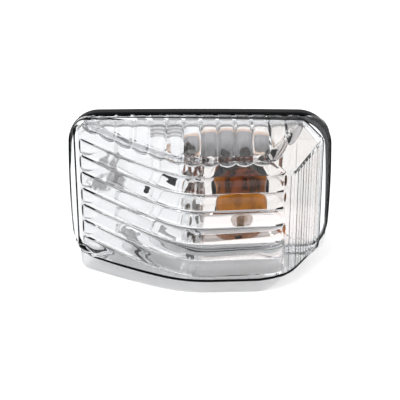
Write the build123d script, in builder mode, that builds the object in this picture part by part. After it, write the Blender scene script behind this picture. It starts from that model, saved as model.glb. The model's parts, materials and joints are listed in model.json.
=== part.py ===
from build123d import *

import os
from math import acos, atan2, cos, degrees, radians, sin, sqrt, tan

# Side repeater lamp, in millimetres. X runs across the lamp, Z is up, and the lens looks towards -Y.
# The origin is the middle of the mounting face, where the gasket meets the vehicle's panel (y = 0).

# Rim: the black flange and its gasket
RIM_WIDTH = 123.2
RIM_HEIGHT = 73.4
RIM_SIDE_BOW = 1.4
RIM_TOP_BOW = 0.5
RIM_TOP_LEFT_RADIUS = 14.5
RIM_TOP_RIGHT_RADIUS = 16.0
RIM_BOTTOM_LEFT_RADIUS = 15.0
RIM_BOTTOM_RIGHT_RADIUS = 19.0
FLANGE_THICKNESS = 3.5
GASKET_THICKNESS = 2.5
GASKET_INSET = 0.4
RIM_EDGE_RADIUS = 0.6

# Housing tub behind the rim, which goes through the panel's opening
TUB_WIDTH = 87.0
TUB_HEIGHT = 58.0
TUB_RADIUS = 7.0
TUB_WALL = 2.0
TUB_DEPTH = 12.2
TUB_CLEARANCE = 0.4

# Lens
LENS_MARGIN = 1.2
LENS_WALL = 2.6
COLLAR_DEPTH = 2.5
COLLAR_STEP = 0.4
ROOF_SLOPE = 0.37
LEFT_FOOT_INSET = 0.6
LEFT_CORNER_INSET = 2.2
LEFT_CORNER_DEPTH = 9.4
LEFT_CORNER_RADIUS = 5.0
RIGHT_FOOT_INSET = 1.2
SOFT_CORNER_X = -7.0
SOFT_CORNER_DEPTH = 36.4
SOFT_CORNER_RADIUS = 52.0
SIDE_CORNER_X = 40.0
SIDE_CORNER_DEPTH = 34.2
SIDE_CORNER_RADIUS = 8.0
LEFT_WALL_BULGE = 1.6
BAND_HEIGHT = 9.8
FACET_LEAN = 1.15
RISE_START = 27.0
RISE_SLOPE = 0.145
EDGE_RADIUS = 1.6
LIP_HEIGHT = 5.9
LIP_THICKNESS = 2.0
LIP_LEFT_END = -57.0
LIP_LEFT_RADIUS = 4.0
LIP_RIGHT_RADIUS = 15.0

# Optics on the inside of the lens
BAR_PITCH = 8.2
BAR_GAP = 1.4
BAR_HEIGHT = 0.8
BAR_COUNT = 8
BAR_START_DEPTH = 4.0
FINGER_PITCH = 7.65
FINGER_COUNT = 13
FINGER_CENTRE = -3.3
FINGER_RADIUS = 4.6
FINGER_HEIGHT = 1.0
RIB_PITCH = 2.5
RIB_COUNT = 12
RIB_RADIUS = 1.5
RIB_HEIGHT = 0.6
RIB_FOOT = 7.0

# Sealant between lens and housing
GROOVE_WIDTH = 1.6
GROOVE_DEPTH = 1.2
GROOVE_INSET = 0.5

# Studs
STUD_OFFSET = 6.5
STUD_RADIUS = 2.5
STUD_SHOULDER_RADIUS = 3.0
STUD_LENGTH = 18.0
STUD_HEAD_RADIUS = 3.8
STUD_HEAD_THICKNESS = 2.0
STUD_CHAMFER = 0.6
STUD_CLEARANCE = 1.5

# Bulb place and size
BULB_X = 19.0
BULB_Z = 0.0
BULB_RADIUS = 12.5
GLASS_LENGTH = 33.0
BULB_NECK_RADIUS = 6.9
BULB_NECK_LENGTH = 3.0
GLASS_WALL = 0.8
BASE_RADIUS = 7.5
BASE_WALL = 0.4
BASE_PROUD = 0.4
BASE_LENGTH = 17.0
PIN_RADIUS = 1.0
PIN_REACH = 1.2
PIN_SETBACK = 8.0
PIN_ANGLE = 150.0
INSULATOR_THICKNESS = 3.0
INSULATOR_PROUD = 1.0
SOLDER_RADIUS = 3.0
SOLDER_HEIGHT = 1.4
STEM_RADIUS = 2.4
STEM_LENGTH = 13.0
STEM_FLARE_THICKNESS = 1.0
LEAD_RADIUS = 0.3
LEAD_SPREAD = 4.0
LEAD_BURIED = 4.0
FILAMENT_RADIUS = 0.5
FILAMENT_SETBACK = 11.0

# Reflector
REFLECTOR_GAP = 1.0
REFLECTOR_RADIUS = 6.0
REFLECTOR_WALL = 1.4
TRAY_DEPTH = 6.0
TRAY_DRAFT = 12.0
PANEL_DEPTH = 3.0
PANEL_LEFT = -20.0
PANEL_INSET = 3.2
TUB_GAP = 0.8
CHAMBER_DEPTH = 4.6
CHAMBER_LEFT = -8.0
CHAMBER_SLANT = 9.5
BULB_GAP = 1.2
HOLE_RIM_WIDTH = 1.2
HOLE_RIM_HEIGHT = 1.5
DRAIN_X = -15.0
DRAIN_Z = 1.0
DRAIN_WIDTH = 8.0
DRAIN_HEIGHT = 3.4
LOCATOR_X = -25.2
LOCATOR_Z = -4.5
LOCATOR_RADIUS = 1.5
BOSS_RADIUS = 3.2
BOSS_INSET = 6.2
SCREW_RADIUS = 1.45
SCREW_LENGTH = 10.0
SCREW_HEAD_RADIUS = 2.9
SCREW_HEAD_HEIGHT = 1.9
SCREW_RECESS_WIDTH = 3.2
SCREW_RECESS_SLOT = 0.8
SCREW_RECESS_DEPTH = 1.0
SCREW_PILOT_CLEARANCE = 0.05
SCREW_HOLE_CLEARANCE = 0.3

# Bulb holder, a quarter-turn fit in the housing
HOLDER_RADIUS = 13.7
HOLDER_HOLE_CLEARANCE = 0.5
HOLDER_TURN = 40.0
LUG_COUNT = 3
LUG_ANGLE = 90.0
LUG_WIDTH = 9.0
LUG_REACH = 2.9
LUG_THICKNESS = 2.5
LUG_CLEARANCE = 0.3
NOTCH_CLEARANCE = 0.6
STOP_WIDTH = 2.0
COLLAR_HEIGHT = 2.0
COLLAR_EDGE = 0.2
SEAL_THICKNESS = 0.8
SEAL_GAP = 0.3
SEAL_EDGE = 0.6
HOLDER_FLANGE_EDGE = 1.6
HOLDER_FLANGE_THICKNESS = 2.6
HOLDER_BODY_RADIUS = 12.5
HOLDER_REAR_WALL = 6.0
HOLDER_BORE_CLEARANCE = 0.5
WING_SPAN = 34.0
WING_THICKNESS = 3.0
WING_LENGTH = 13.0
SLEEVE_WALL = 0.4
SLEEVE_CLEARANCE = 0.15
SLEEVE_OVERRUN = 3.0
SLOT_CLEARANCE = 0.3
PIN_GROOVE_MARGIN = 1.0
CONTACT_ROOM = 2.0

# Connector on the back of the holder
SHROUD_WIDTH = 24.0
SHROUD_HEIGHT = 15.0
SHROUD_WALL = 2.0
SHROUD_RADIUS = 3.0
SHROUD_LENGTH = 11.5
BLADE_SPACING = 10.0
BLADE_WIDTH = 6.3
BLADE_THICKNESS = 0.8
BLADE_SETBACK = 1.5
BLADE_SLOT_CLEARANCE = 0.15
CONTACT_GAP = 0.1
LATCH_WIDTH = 6.0
LATCH_HEIGHT = 1.6
LATCH_LENGTH = 4.0

# Breather
VENT_INSET_X = 19.5
VENT_INSET_Z = 12.0
SPIGOT_RADIUS = 3.4
SPIGOT_BORE = 1.4
SPIGOT_LENGTH = 6.8
VENT_CAP_RADIUS = 5.2
VENT_CAP_GAP = 1.2
VENT_CAP_TOP = 1.6
VENT_FILTER_THICKNESS = 0.8
VENT_FIT = 0.05
VENT_SLOT = 1.6

# Stations along Y, from the lens's seat to the connector's mouth
FLANGE_BACK = -GASKET_THICKNESS
FLANGE_FRONT = FLANGE_BACK - FLANGE_THICKNESS
STUD_SHOULDER_FRONT = FLANGE_FRONT + STUD_HEAD_THICKNESS
REFLECTOR_FRONT = FLANGE_FRONT - REFLECTOR_WALL
TUB_FLOOR = TUB_DEPTH - TUB_WALL
COLLAR_BACK = TUB_DEPTH + COLLAR_HEIGHT
SEAL_FRONT = COLLAR_BACK + SEAL_GAP
HOLDER_FRONT = TUB_FLOOR - LUG_CLEARANCE - LUG_THICKNESS
HOLDER_FLANGE_FRONT = SEAL_FRONT + SEAL_THICKNESS
HOLDER_FLANGE_BACK = HOLDER_FLANGE_FRONT + HOLDER_FLANGE_THICKNESS
BASE_TOP = HOLDER_FRONT - BASE_PROUD
BASE_END = BASE_TOP + BASE_LENGTH
BULB_TIP = BASE_TOP - GLASS_LENGTH
GLOBE_CENTRE = BULB_TIP + BULB_RADIUS
FILAMENT_STATION = BULB_TIP + FILAMENT_SETBACK
PIN_STATION = BASE_TOP + PIN_SETBACK
PIN_GROOVE_END = PIN_STATION + PIN_RADIUS + PIN_GROOVE_MARGIN
CONTACT_STATION = BASE_END + INSULATOR_PROUD + SOLDER_HEIGHT + CONTACT_GAP
SLEEVE_END = BASE_END + SLEEVE_OVERRUN
HOLDER_BODY_END = SLEEVE_END + CONTACT_ROOM + HOLDER_REAR_WALL
SHROUD_MOUTH = HOLDER_BODY_END + SHROUD_LENGTH

# Radii, levels and places that follow from the sizes above
LENS_TOP = RIM_HEIGHT / 2 - LENS_MARGIN - COLLAR_STEP
LENS_BOTTOM = LENS_MARGIN + COLLAR_STEP - RIM_HEIGHT / 2
ROOF_TOP = LENS_TOP - RIM_TOP_BOW
LENS_HALF_WIDTH = RIM_WIDTH / 2 - LENS_MARGIN
TUB_INSIDE_WIDTH = TUB_WIDTH - 2 * TUB_WALL
TUB_INSIDE_HEIGHT = TUB_HEIGHT - 2 * TUB_WALL
TUB_INSIDE_RADIUS = TUB_RADIUS - TUB_WALL
STUD_SPACING = TUB_WIDTH + 2 * STUD_OFFSET
BOSS_SPACING_X = TUB_INSIDE_WIDTH - 2 * BOSS_INSET
BOSS_SPACING_Z = TUB_INSIDE_HEIGHT - 2 * BOSS_INSET
VENT_X = VENT_INSET_X - TUB_WIDTH / 2
VENT_Z = VENT_INSET_Z - TUB_HEIGHT / 2
HOLDER_HOLE_RADIUS = HOLDER_RADIUS + HOLDER_HOLE_CLEARANCE
LUG_RADIUS = HOLDER_RADIUS + LUG_REACH
HOLDER_FLANGE_RADIUS = LUG_RADIUS + NOTCH_CLEARANCE + HOLDER_FLANGE_EDGE
SEAL_RADIUS = HOLDER_FLANGE_RADIUS - SEAL_EDGE
COLLAR_RADIUS = HOLDER_FLANGE_RADIUS + COLLAR_EDGE
SLEEVE_RADIUS = BASE_RADIUS + SLEEVE_CLEARANCE + SLEEVE_WALL
BULB_AXIS = Axis((BULB_X, 0, BULB_Z), (0, 1, 0))
FAR = 2 * RIM_WIDTH


def station(y):
    """Plane across the lamp at y, facing forward, with the lamp's X and Z as its own axes."""
    return Plane.XZ.offset(-y)


def rim_outline(y, inset):
    """The rim's outline, with four bowed sides, pulled in by inset, as a face at y."""
    right, top = RIM_WIDTH / 2 - RIM_SIDE_BOW, RIM_HEIGHT / 2 - RIM_TOP_BOW
    top_left, top_right = (-right, top), (right, top)
    bottom_left, bottom_right = (-right, -top), (right, -top)
    with BuildSketch(station(y)) as outline:
        with BuildLine():
            SagittaArc(top_left, top_right, RIM_TOP_BOW)
            SagittaArc(top_right, bottom_right, RIM_SIDE_BOW)
            SagittaArc(bottom_right, bottom_left, RIM_TOP_BOW)
            SagittaArc(bottom_left, top_left, RIM_SIDE_BOW)
        make_face()
        fillet(outline.vertices().sort_by_distance(top_left)[0], RIM_TOP_LEFT_RADIUS)
        fillet(outline.vertices().sort_by_distance(top_right)[0], RIM_TOP_RIGHT_RADIUS)
        fillet(outline.vertices().sort_by_distance(bottom_left)[0], RIM_BOTTOM_LEFT_RADIUS)
        fillet(outline.vertices().sort_by_distance(bottom_right)[0], RIM_BOTTOM_RIGHT_RADIUS)
        if inset:
            offset(amount=-inset)
    return outline.sketch


# Corners of the lens seen from above, before rounding
LEFT_FOOT = (LEFT_FOOT_INSET - LENS_HALF_WIDTH, FLANGE_FRONT)
LEFT_CORNER = (LEFT_CORNER_INSET - LENS_HALF_WIDTH, -LEFT_CORNER_DEPTH)
SOFT_CORNER = (SOFT_CORNER_X, -SOFT_CORNER_DEPTH)
SIDE_CORNER = (SIDE_CORNER_X, -SIDE_CORNER_DEPTH)
RIGHT_FOOT = (LENS_HALF_WIDTH - RIGHT_FOOT_INSET, FLANGE_FRONT)
SIDE_RUN = Vector(*RIGHT_FOOT) - Vector(*SIDE_CORNER)
SIDE_NORMAL = Vector(SIDE_RUN.Y, -SIDE_RUN.X).normalized()
ROOF_NORMAL = Vector(0, -ROOF_SLOPE, 1).normalized()
FACET_NORMAL = (SIDE_NORMAL * FACET_LEAN + ROOF_NORMAL).normalized()
RISE_NORMAL = Vector(RISE_SLOPE, 0, -1).normalized()
LEFT_ANGLE = atan2(FLANGE_FRONT + LEFT_CORNER_DEPTH, LEFT_CORNER[0] - LEFT_FOOT[0])
RIGHT_ANGLE = atan2(SIDE_RUN.Y, SIDE_RUN.X)


def roof_plane(drop):
    """Plane parallel to the lens's sloping roof, lower than it by drop along Z."""
    return Plane((0, FLANGE_FRONT, ROOF_TOP - drop), x_dir=(1, 0, 0), z_dir=ROOF_NORMAL)


def facet_plane(inset):
    """Plane of the slanting facet between the roof and the right-hand wall."""
    foot = Vector(RIGHT_FOOT[0], RIGHT_FOOT[1], ROOF_TOP - BAND_HEIGHT)
    return Plane(foot - FACET_NORMAL * inset, z_dir=FACET_NORMAL)


def rise_plane(inset):
    """Plane of the lens's underside where it rises towards the right-hand end."""
    return Plane(Vector(RISE_START, 0, LENS_BOTTOM) - RISE_NORMAL * inset, z_dir=RISE_NORMAL)


def lens_plan(inset, level):
    """The lens's plan, pulled in by inset, as a face at the height level. It runs on behind the flange."""
    with BuildSketch(Plane.XY.offset(level)) as plan:
        with BuildLine():
            Line(LEFT_FOOT, LEFT_CORNER)
            SagittaArc(LEFT_CORNER, SOFT_CORNER, -LEFT_WALL_BULGE)
            Polyline(
                SOFT_CORNER,
                SIDE_CORNER,
                RIGHT_FOOT,
                (RIGHT_FOOT[0], RIM_HEIGHT),
                (LEFT_FOOT[0], RIM_HEIGHT),
                LEFT_FOOT,
            )
        make_face()
        fillet(plan.vertices().sort_by_distance(LEFT_CORNER)[0], LEFT_CORNER_RADIUS)
        fillet(plan.vertices().sort_by_distance(SOFT_CORNER)[0], SOFT_CORNER_RADIUS)
        fillet(plan.vertices().sort_by_distance(SIDE_CORNER)[0], SIDE_CORNER_RADIUS)
        if inset:
            offset(amount=-inset, kind=Kind.INTERSECTION)
    return plan.sketch


def lens_block(inset, edge_radius):
    """The lens's outer form as a solid, pulled in by inset on every side but the back."""
    with BuildPart() as block:
        extrude(lens_plan(inset, -RIM_HEIGHT), amount=FAR)
        outline = rim_outline(FLANGE_FRONT, LENS_MARGIN + COLLAR_STEP + inset)
        extrude(outline, amount=FAR, mode=Mode.INTERSECT)
        split(bisect_by=roof_plane(inset / ROOF_NORMAL.Z), keep=Keep.BOTTOM)
        split(bisect_by=facet_plane(inset), keep=Keep.BOTTOM)
        split(bisect_by=rise_plane(inset), keep=Keep.BOTTOM)
        if edge_radius:
            roof = block.faces().sort_by(Axis((0, 0, 0), ROOF_NORMAL))[-1]
            rims = roof.edges().filter_by(lambda edge: edge.center().Y < FLANGE_FRONT - edge_radius)
            fillet(rims, edge_radius)
    return block.part


lens_outer = lens_block(0, EDGE_RADIUS)
lens_cavity = lens_block(LENS_WALL, 0)

# Horizontal bars along the left and front walls, parallel to the roof
with BuildPart() as lens_bars:
    for index in range(BAR_COUNT):
        top = BAND_HEIGHT + index * BAR_PITCH + BAR_GAP / 2
        with BuildSketch(roof_plane(top)):
            Rectangle(FAR, FAR)
        extrude(amount=-(BAR_PITCH - BAR_GAP) * ROOF_NORMAL.Z)
    with BuildSketch(Plane.XY.offset(-RIM_HEIGHT)):
        add(lens_plan(LENS_WALL, 0))
        add(lens_plan(LENS_WALL + BAR_HEIGHT, 0), mode=Mode.SUBTRACT)
        with Locations((SIDE_CORNER_X - FAR / 2, FLANGE_FRONT - BAR_START_DEPTH - FAR / 2)):
            Rectangle(FAR, FAR, mode=Mode.INTERSECT)
    extrude(amount=FAR, mode=Mode.INTERSECT)
    add(lens_cavity, mode=Mode.INTERSECT)

# Rounded fingers under the roof, which run from back to front
with BuildPart() as lens_fingers:
    inner_roof = roof_plane(LENS_WALL / ROOF_NORMAL.Z)
    downhill = Plane(inner_roof.origin, x_dir=(1, 0, 0), z_dir=(0, -1, -ROOF_SLOPE))
    with BuildSketch(downhill):
        with Locations((FINGER_CENTRE, FINGER_RADIUS - FINGER_HEIGHT)):
            with GridLocations(FINGER_PITCH, 1, FINGER_COUNT, 1):
                Circle(FINGER_RADIUS)
    extrude(amount=FAR)
    add(lens_cavity, mode=Mode.INTERSECT)

# Fine upright ribs on the right-hand wall, below the facet
with BuildPart() as lens_ribs:
    wall_step = SIDE_RUN.normalized() * RIB_PITCH
    wall_inside = SIDE_NORMAL * (LENS_WALL - RIB_RADIUS + RIB_HEIGHT)
    with BuildSketch(Plane.XY.offset(LENS_BOTTOM + RIB_FOOT)):
        for index in range(RIB_COUNT):
            centre = Vector(*SIDE_CORNER) + wall_step * (index + 1) - wall_inside
            with Locations((centre.X, centre.Y)):
                Circle(RIB_RADIUS)
    extrude(amount=FAR)
    split(bisect_by=roof_plane(BAND_HEIGHT + BAR_GAP), keep=Keep.BOTTOM)
    split(bisect_by=station(FLANGE_FRONT - BAR_START_DEPTH), keep=Keep.TOP)
    add(lens_cavity, mode=Mode.INTERSECT)

# Clear lip that hangs from the lens's lower front edge and runs out at the side corner
with BuildPart() as lens_lip:
    lip_bottom = LENS_BOTTOM - LIP_HEIGHT
    lip_top = LENS_BOTTOM + RIM_BOTTOM_LEFT_RADIUS
    with BuildSketch(station(FLANGE_FRONT - COLLAR_DEPTH)):
        with BuildLine():
            FilletPolyline(
                (LIP_LEFT_END, lip_top),
                (LIP_LEFT_END, lip_bottom),
                (SIDE_CORNER_X, lip_bottom),
                (SIDE_CORNER_X, lip_top),
                radius=[LIP_LEFT_RADIUS, LIP_RIGHT_RADIUS],
            )
            Line((SIDE_CORNER_X, lip_top), (LIP_LEFT_END, lip_top))
        make_face()
    extrude(amount=FAR)
    with BuildSketch(Plane.XY.offset(-FAR / 2)):
        add(lens_plan(0, 0))
        add(lens_plan(LIP_THICKNESS, 0), mode=Mode.SUBTRACT)
    extrude(amount=FAR, mode=Mode.INTERSECT)

with BuildPart() as lens:
    add(lens_outer)
    extrude(rim_outline(FLANGE_FRONT, LENS_MARGIN), amount=COLLAR_DEPTH)
    add(lens_cavity, mode=Mode.SUBTRACT)
    add(lens_bars.part)
    add(lens_fingers.part)
    add(lens_ribs.part)
    add(lens_lip.part)
lens.part.label = "lens"
export_step(lens.part, "parts/lens.step")


with BuildPart() as housing:
    # Flange with its tub
    extrude(rim_outline(FLANGE_BACK, 0), amount=FLANGE_THICKNESS)
    fillet(housing.edges().group_by(Axis.Y)[0], RIM_EDGE_RADIUS)
    with BuildSketch(station(FLANGE_BACK)):
        RectangleRounded(TUB_WIDTH, TUB_HEIGHT, TUB_RADIUS)
    extrude(amount=FLANGE_BACK - TUB_DEPTH)
    with BuildSketch(station(TUB_FLOOR)):
        RectangleRounded(TUB_INSIDE_WIDTH, TUB_INSIDE_HEIGHT, TUB_INSIDE_RADIUS)
    extrude(amount=TUB_FLOOR - FLANGE_FRONT, mode=Mode.SUBTRACT)
    # Raised seat for the holder's seal, and the hole with its notches
    with BuildSketch(station(TUB_DEPTH)):
        with Locations((BULB_X, BULB_Z)):
            Circle(COLLAR_RADIUS)
    extrude(amount=-COLLAR_HEIGHT)
    with BuildSketch(station(COLLAR_BACK)):
        with Locations((BULB_X, BULB_Z)):
            Circle(HOLDER_HOLE_RADIUS)
            with PolarLocations(0, LUG_COUNT, LUG_ANGLE - HOLDER_TURN):
                Rectangle(
                    LUG_RADIUS + NOTCH_CLEARANCE,
                    LUG_WIDTH + 2 * NOTCH_CLEARANCE,
                    align=(Align.MIN, Align.CENTER),
                )
    extrude(amount=COLLAR_BACK - TUB_FLOOR, mode=Mode.SUBTRACT)
    # Two stops in front of the tub's floor, one at each end of a lug's travel
    stop_offset = degrees((LUG_WIDTH / 2 + STOP_WIDTH / 2 + NOTCH_CLEARANCE) / HOLDER_HOLE_RADIUS)
    with BuildSketch(station(TUB_FLOOR)):
        with Locations((BULB_X, BULB_Z)):
            for angle in (LUG_ANGLE + stop_offset, LUG_ANGLE - HOLDER_TURN - stop_offset):
                with PolarLocations(HOLDER_HOLE_RADIUS, 1, angle):
                    Rectangle(LUG_REACH, STOP_WIDTH, align=(Align.MIN, Align.CENTER))
    extrude(amount=TUB_FLOOR - HOLDER_FRONT)
    # Sealant groove in the flange's front
    extrude(rim_outline(FLANGE_FRONT, LENS_MARGIN + GROOVE_INSET), amount=-GROOVE_DEPTH, mode=Mode.SUBTRACT)
    land = rim_outline(FLANGE_FRONT, LENS_MARGIN + GROOVE_INSET + GROOVE_WIDTH)
    extrude(land, amount=-GROOVE_DEPTH)
    with BuildSketch(station(FLANGE_FRONT)):
        RectangleRounded(TUB_INSIDE_WIDTH, TUB_INSIDE_HEIGHT, TUB_INSIDE_RADIUS)
    extrude(amount=-GROOVE_DEPTH, mode=Mode.SUBTRACT)
    # Pockets and holes for the studs
    with BuildSketch(station(FLANGE_FRONT)):
        with GridLocations(STUD_SPACING, 1, 2, 1):
            Circle(STUD_HEAD_RADIUS)
    extrude(amount=-STUD_HEAD_THICKNESS, mode=Mode.SUBTRACT)
    with BuildSketch(station(FLANGE_FRONT)):
        with GridLocations(STUD_SPACING, 1, 2, 1):
            Circle(STUD_SHOULDER_RADIUS)
    extrude(amount=-FLANGE_THICKNESS, mode=Mode.SUBTRACT)
    # Holes for the reflector's screws
    with BuildSketch(station(TUB_DEPTH)):
        with GridLocations(BOSS_SPACING_X, BOSS_SPACING_Z, 2, 2):
            Circle(SCREW_RADIUS + SCREW_HOLE_CLEARANCE)
    extrude(amount=TUB_WALL, mode=Mode.SUBTRACT)
    # Breather spigot
    with BuildSketch(station(TUB_DEPTH)):
        with Locations((VENT_X, VENT_Z)):
            Circle(SPIGOT_RADIUS)
    extrude(amount=-SPIGOT_LENGTH)
    with BuildSketch(station(TUB_FLOOR)):
        with Locations((VENT_X, VENT_Z)):
            Circle(SPIGOT_BORE)
    extrude(amount=-TUB_WALL - SPIGOT_LENGTH, mode=Mode.SUBTRACT)
housing.part.label = "housing"
export_step(housing.part, "parts/housing.step")

with BuildPart() as body_gasket:
    extrude(rim_outline(0, GASKET_INSET), amount=GASKET_THICKNESS)
    with BuildSketch(station(0)):
        RectangleRounded(TUB_WIDTH + 2 * TUB_CLEARANCE, TUB_HEIGHT + 2 * TUB_CLEARANCE, TUB_RADIUS)
        with GridLocations(STUD_SPACING, 1, 2, 1):
            Circle(STUD_RADIUS + STUD_CLEARANCE)
    extrude(amount=GASKET_THICKNESS, mode=Mode.SUBTRACT)
body_gasket.part.label = "body_gasket"
export_step(body_gasket.part, "parts/body_gasket.step")

with BuildPart() as lens_sealant:
    extrude(rim_outline(FLANGE_FRONT, LENS_MARGIN + GROOVE_INSET), amount=-GROOVE_DEPTH)
    extrude(land, amount=-GROOVE_DEPTH, mode=Mode.SUBTRACT)
lens_sealant.part.label = "lens_sealant"
export_step(lens_sealant.part, "parts/lens_sealant.step")

with BuildPart() as mounting_studs:
    with BuildSketch(station(FLANGE_FRONT)):
        with GridLocations(STUD_SPACING, 1, 2, 1):
            Circle(STUD_HEAD_RADIUS)
    extrude(amount=-STUD_HEAD_THICKNESS)
    with BuildSketch(station(STUD_SHOULDER_FRONT)):
        with GridLocations(STUD_SPACING, 1, 2, 1):
            Circle(STUD_SHOULDER_RADIUS)
    extrude(amount=STUD_SHOULDER_FRONT - FLANGE_BACK)
    with BuildSketch(station(FLANGE_BACK)):
        with GridLocations(STUD_SPACING, 1, 2, 1):
            Circle(STUD_RADIUS)
    extrude(amount=FLANGE_BACK - STUD_LENGTH)
    chamfer(mounting_studs.edges().group_by(Axis.Y)[-1], STUD_CHAMFER)
mounting_studs.part.label = "mounting_studs"
export_step(mounting_studs.part, "parts/mounting_studs.step")


def bulb_chamber(wall):
    """Box round the bulb, thickened by wall. Its left wall slants, and the others have a draft."""
    right = TUB_INSIDE_WIDTH / 2 - TUB_GAP - REFLECTOR_WALL
    height = TUB_INSIDE_HEIGHT - 2 * TUB_GAP - 2 * REFLECTOR_WALL
    lean = CHAMBER_DEPTH * tan(radians(TRAY_DRAFT))
    floor_left, floor_right = CHAMBER_LEFT + CHAMBER_SLANT, right - lean
    with BuildPart() as chamber:
        with BuildSketch(station(REFLECTOR_FRONT)):
            with Locations(((CHAMBER_LEFT + right) / 2, 0)):
                Rectangle(right - CHAMBER_LEFT + 2 * wall, height + 2 * wall)
        with BuildSketch(station(REFLECTOR_FRONT + CHAMBER_DEPTH + wall)):
            with Locations(((floor_left + floor_right) / 2, 0)):
                Rectangle(floor_right - floor_left + 2 * wall, height - 2 * lean + 2 * wall)
        loft(ruled=True)
    return chamber.part


with BuildPart() as reflector:
    left = LEFT_FOOT[0] + LENS_WALL / sin(LEFT_ANGLE) + REFLECTOR_WALL / tan(LEFT_ANGLE) + REFLECTOR_GAP
    right = RIGHT_FOOT[0] - LENS_WALL / sin(RIGHT_ANGLE) - REFLECTOR_WALL / tan(RIGHT_ANGLE) - REFLECTOR_GAP
    top = ROOF_TOP - (LENS_WALL + FINGER_HEIGHT) / ROOF_NORMAL.Z - ROOF_SLOPE * REFLECTOR_WALL - REFLECTOR_GAP
    bottom = LENS_BOTTOM + LENS_WALL + REFLECTOR_GAP
    tray_left = TUB_GAP - TUB_INSIDE_WIDTH / 2
    tray_height = TUB_INSIDE_HEIGHT - 2 * TUB_GAP
    panel_height = tray_height - 2 * PANEL_INSET
    inset = LENS_WALL + REFLECTOR_GAP
    outline = rim_outline(FLANGE_FRONT, LENS_MARGIN + COLLAR_STEP + inset)
    # Flange, which follows the inside of the lens
    with BuildSketch(station(FLANGE_FRONT)):
        with Locations(((left + right) / 2, (top + bottom) / 2)):
            RectangleRounded(right - left, top - bottom, REFLECTOR_RADIUS)
    extrude(amount=REFLECTOR_WALL)
    extrude(outline, amount=REFLECTOR_WALL, mode=Mode.INTERSECT)
    split(bisect_by=facet_plane(inset), keep=Keep.BOTTOM)
    split(bisect_by=rise_plane(inset), keep=Keep.BOTTOM)
    # Backs of the tray, the raised panel and the bulb's chamber
    with BuildSketch(station(FLANGE_FRONT)):
        with Locations(((tray_left + PANEL_LEFT) / 2, 0)):
            RectangleRounded(PANEL_LEFT - tray_left, tray_height, TUB_INSIDE_RADIUS)
    extrude(amount=-TRAY_DEPTH, taper=TRAY_DRAFT)
    with BuildSketch(station(FLANGE_FRONT)):
        with Locations(((PANEL_LEFT + CHAMBER_LEFT) / 2, 0)):
            Rectangle(CHAMBER_LEFT - PANEL_LEFT, panel_height)
    extrude(amount=-PANEL_DEPTH, taper=TRAY_DRAFT)
    add(bulb_chamber(REFLECTOR_WALL))
    # Screw bosses, which reach the tub's floor
    with BuildSketch(station(TUB_FLOOR)):
        with GridLocations(BOSS_SPACING_X, BOSS_SPACING_Z, 2, 2):
            Circle(BOSS_RADIUS)
    extrude(amount=TUB_FLOOR - FLANGE_FRONT)
    # Hollow fronts of the tray, the panel and the bulb's chamber
    with BuildSketch(station(REFLECTOR_FRONT)):
        with Locations(((tray_left + PANEL_LEFT) / 2, 0)):
            RectangleRounded(
                PANEL_LEFT - tray_left - 2 * REFLECTOR_WALL,
                tray_height - 2 * REFLECTOR_WALL,
                TUB_INSIDE_RADIUS - REFLECTOR_WALL,
            )
    extrude(amount=-TRAY_DEPTH, taper=TRAY_DRAFT, mode=Mode.SUBTRACT)
    with BuildSketch(station(REFLECTOR_FRONT)):
        with Locations(((PANEL_LEFT + CHAMBER_LEFT) / 2, 0)):
            Rectangle(CHAMBER_LEFT - PANEL_LEFT - 2 * REFLECTOR_WALL, panel_height - 2 * REFLECTOR_WALL)
    extrude(amount=-PANEL_DEPTH, taper=TRAY_DRAFT, mode=Mode.SUBTRACT)
    add(bulb_chamber(0), mode=Mode.SUBTRACT)
    # Raised rim and hole for the bulb, and pilot holes for the screws
    with BuildSketch(station(REFLECTOR_FRONT + CHAMBER_DEPTH)):
        with Locations((BULB_X, BULB_Z)):
            Circle(BULB_RADIUS + BULB_GAP + HOLE_RIM_WIDTH)
    extrude(amount=HOLE_RIM_HEIGHT)
    with BuildSketch(station(REFLECTOR_FRONT)):
        with Locations((BULB_X, BULB_Z)):
            Circle(BULB_RADIUS + BULB_GAP)
    extrude(amount=REFLECTOR_FRONT - TUB_FLOOR, mode=Mode.SUBTRACT)
    with BuildSketch(station(TUB_FLOOR)):
        with GridLocations(BOSS_SPACING_X, BOSS_SPACING_Z, 2, 2):
            Circle(SCREW_RADIUS + SCREW_PILOT_CLEARANCE)
    extrude(amount=SCREW_LENGTH - TUB_WALL, mode=Mode.SUBTRACT)
    # Drain slot in the panel, and locating hole in the tray
    with BuildSketch(station(TUB_FLOOR)):
        with Locations((DRAIN_X, DRAIN_Z)):
            Rectangle(DRAIN_WIDTH, DRAIN_HEIGHT)
        with Locations((LOCATOR_X, LOCATOR_Z)):
            Circle(LOCATOR_RADIUS)
    extrude(amount=TUB_FLOOR - REFLECTOR_FRONT, mode=Mode.SUBTRACT)
reflector.part.label = "reflector"
export_step(reflector.part, "parts/reflector.step")

with BuildPart() as reflector_screws:
    with BuildSketch(station(TUB_DEPTH)):
        with GridLocations(BOSS_SPACING_X, BOSS_SPACING_Z, 2, 2):
            Circle(SCREW_RADIUS)
    extrude(amount=SCREW_LENGTH)
    with BuildSketch(station(TUB_DEPTH)):
        with GridLocations(BOSS_SPACING_X, BOSS_SPACING_Z, 2, 2):
            Circle(SCREW_HEAD_RADIUS)
    extrude(amount=-SCREW_HEAD_HEIGHT)
    with BuildSketch(station(TUB_DEPTH + SCREW_HEAD_HEIGHT)):
        with GridLocations(BOSS_SPACING_X, BOSS_SPACING_Z, 2, 2):
            Rectangle(SCREW_RECESS_WIDTH, SCREW_RECESS_SLOT)
            Rectangle(SCREW_RECESS_SLOT, SCREW_RECESS_WIDTH)
    extrude(amount=SCREW_RECESS_DEPTH, mode=Mode.SUBTRACT)
reflector_screws.part.label = "reflector_screws"
export_step(reflector_screws.part, "parts/reflector_screws.step")

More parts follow.
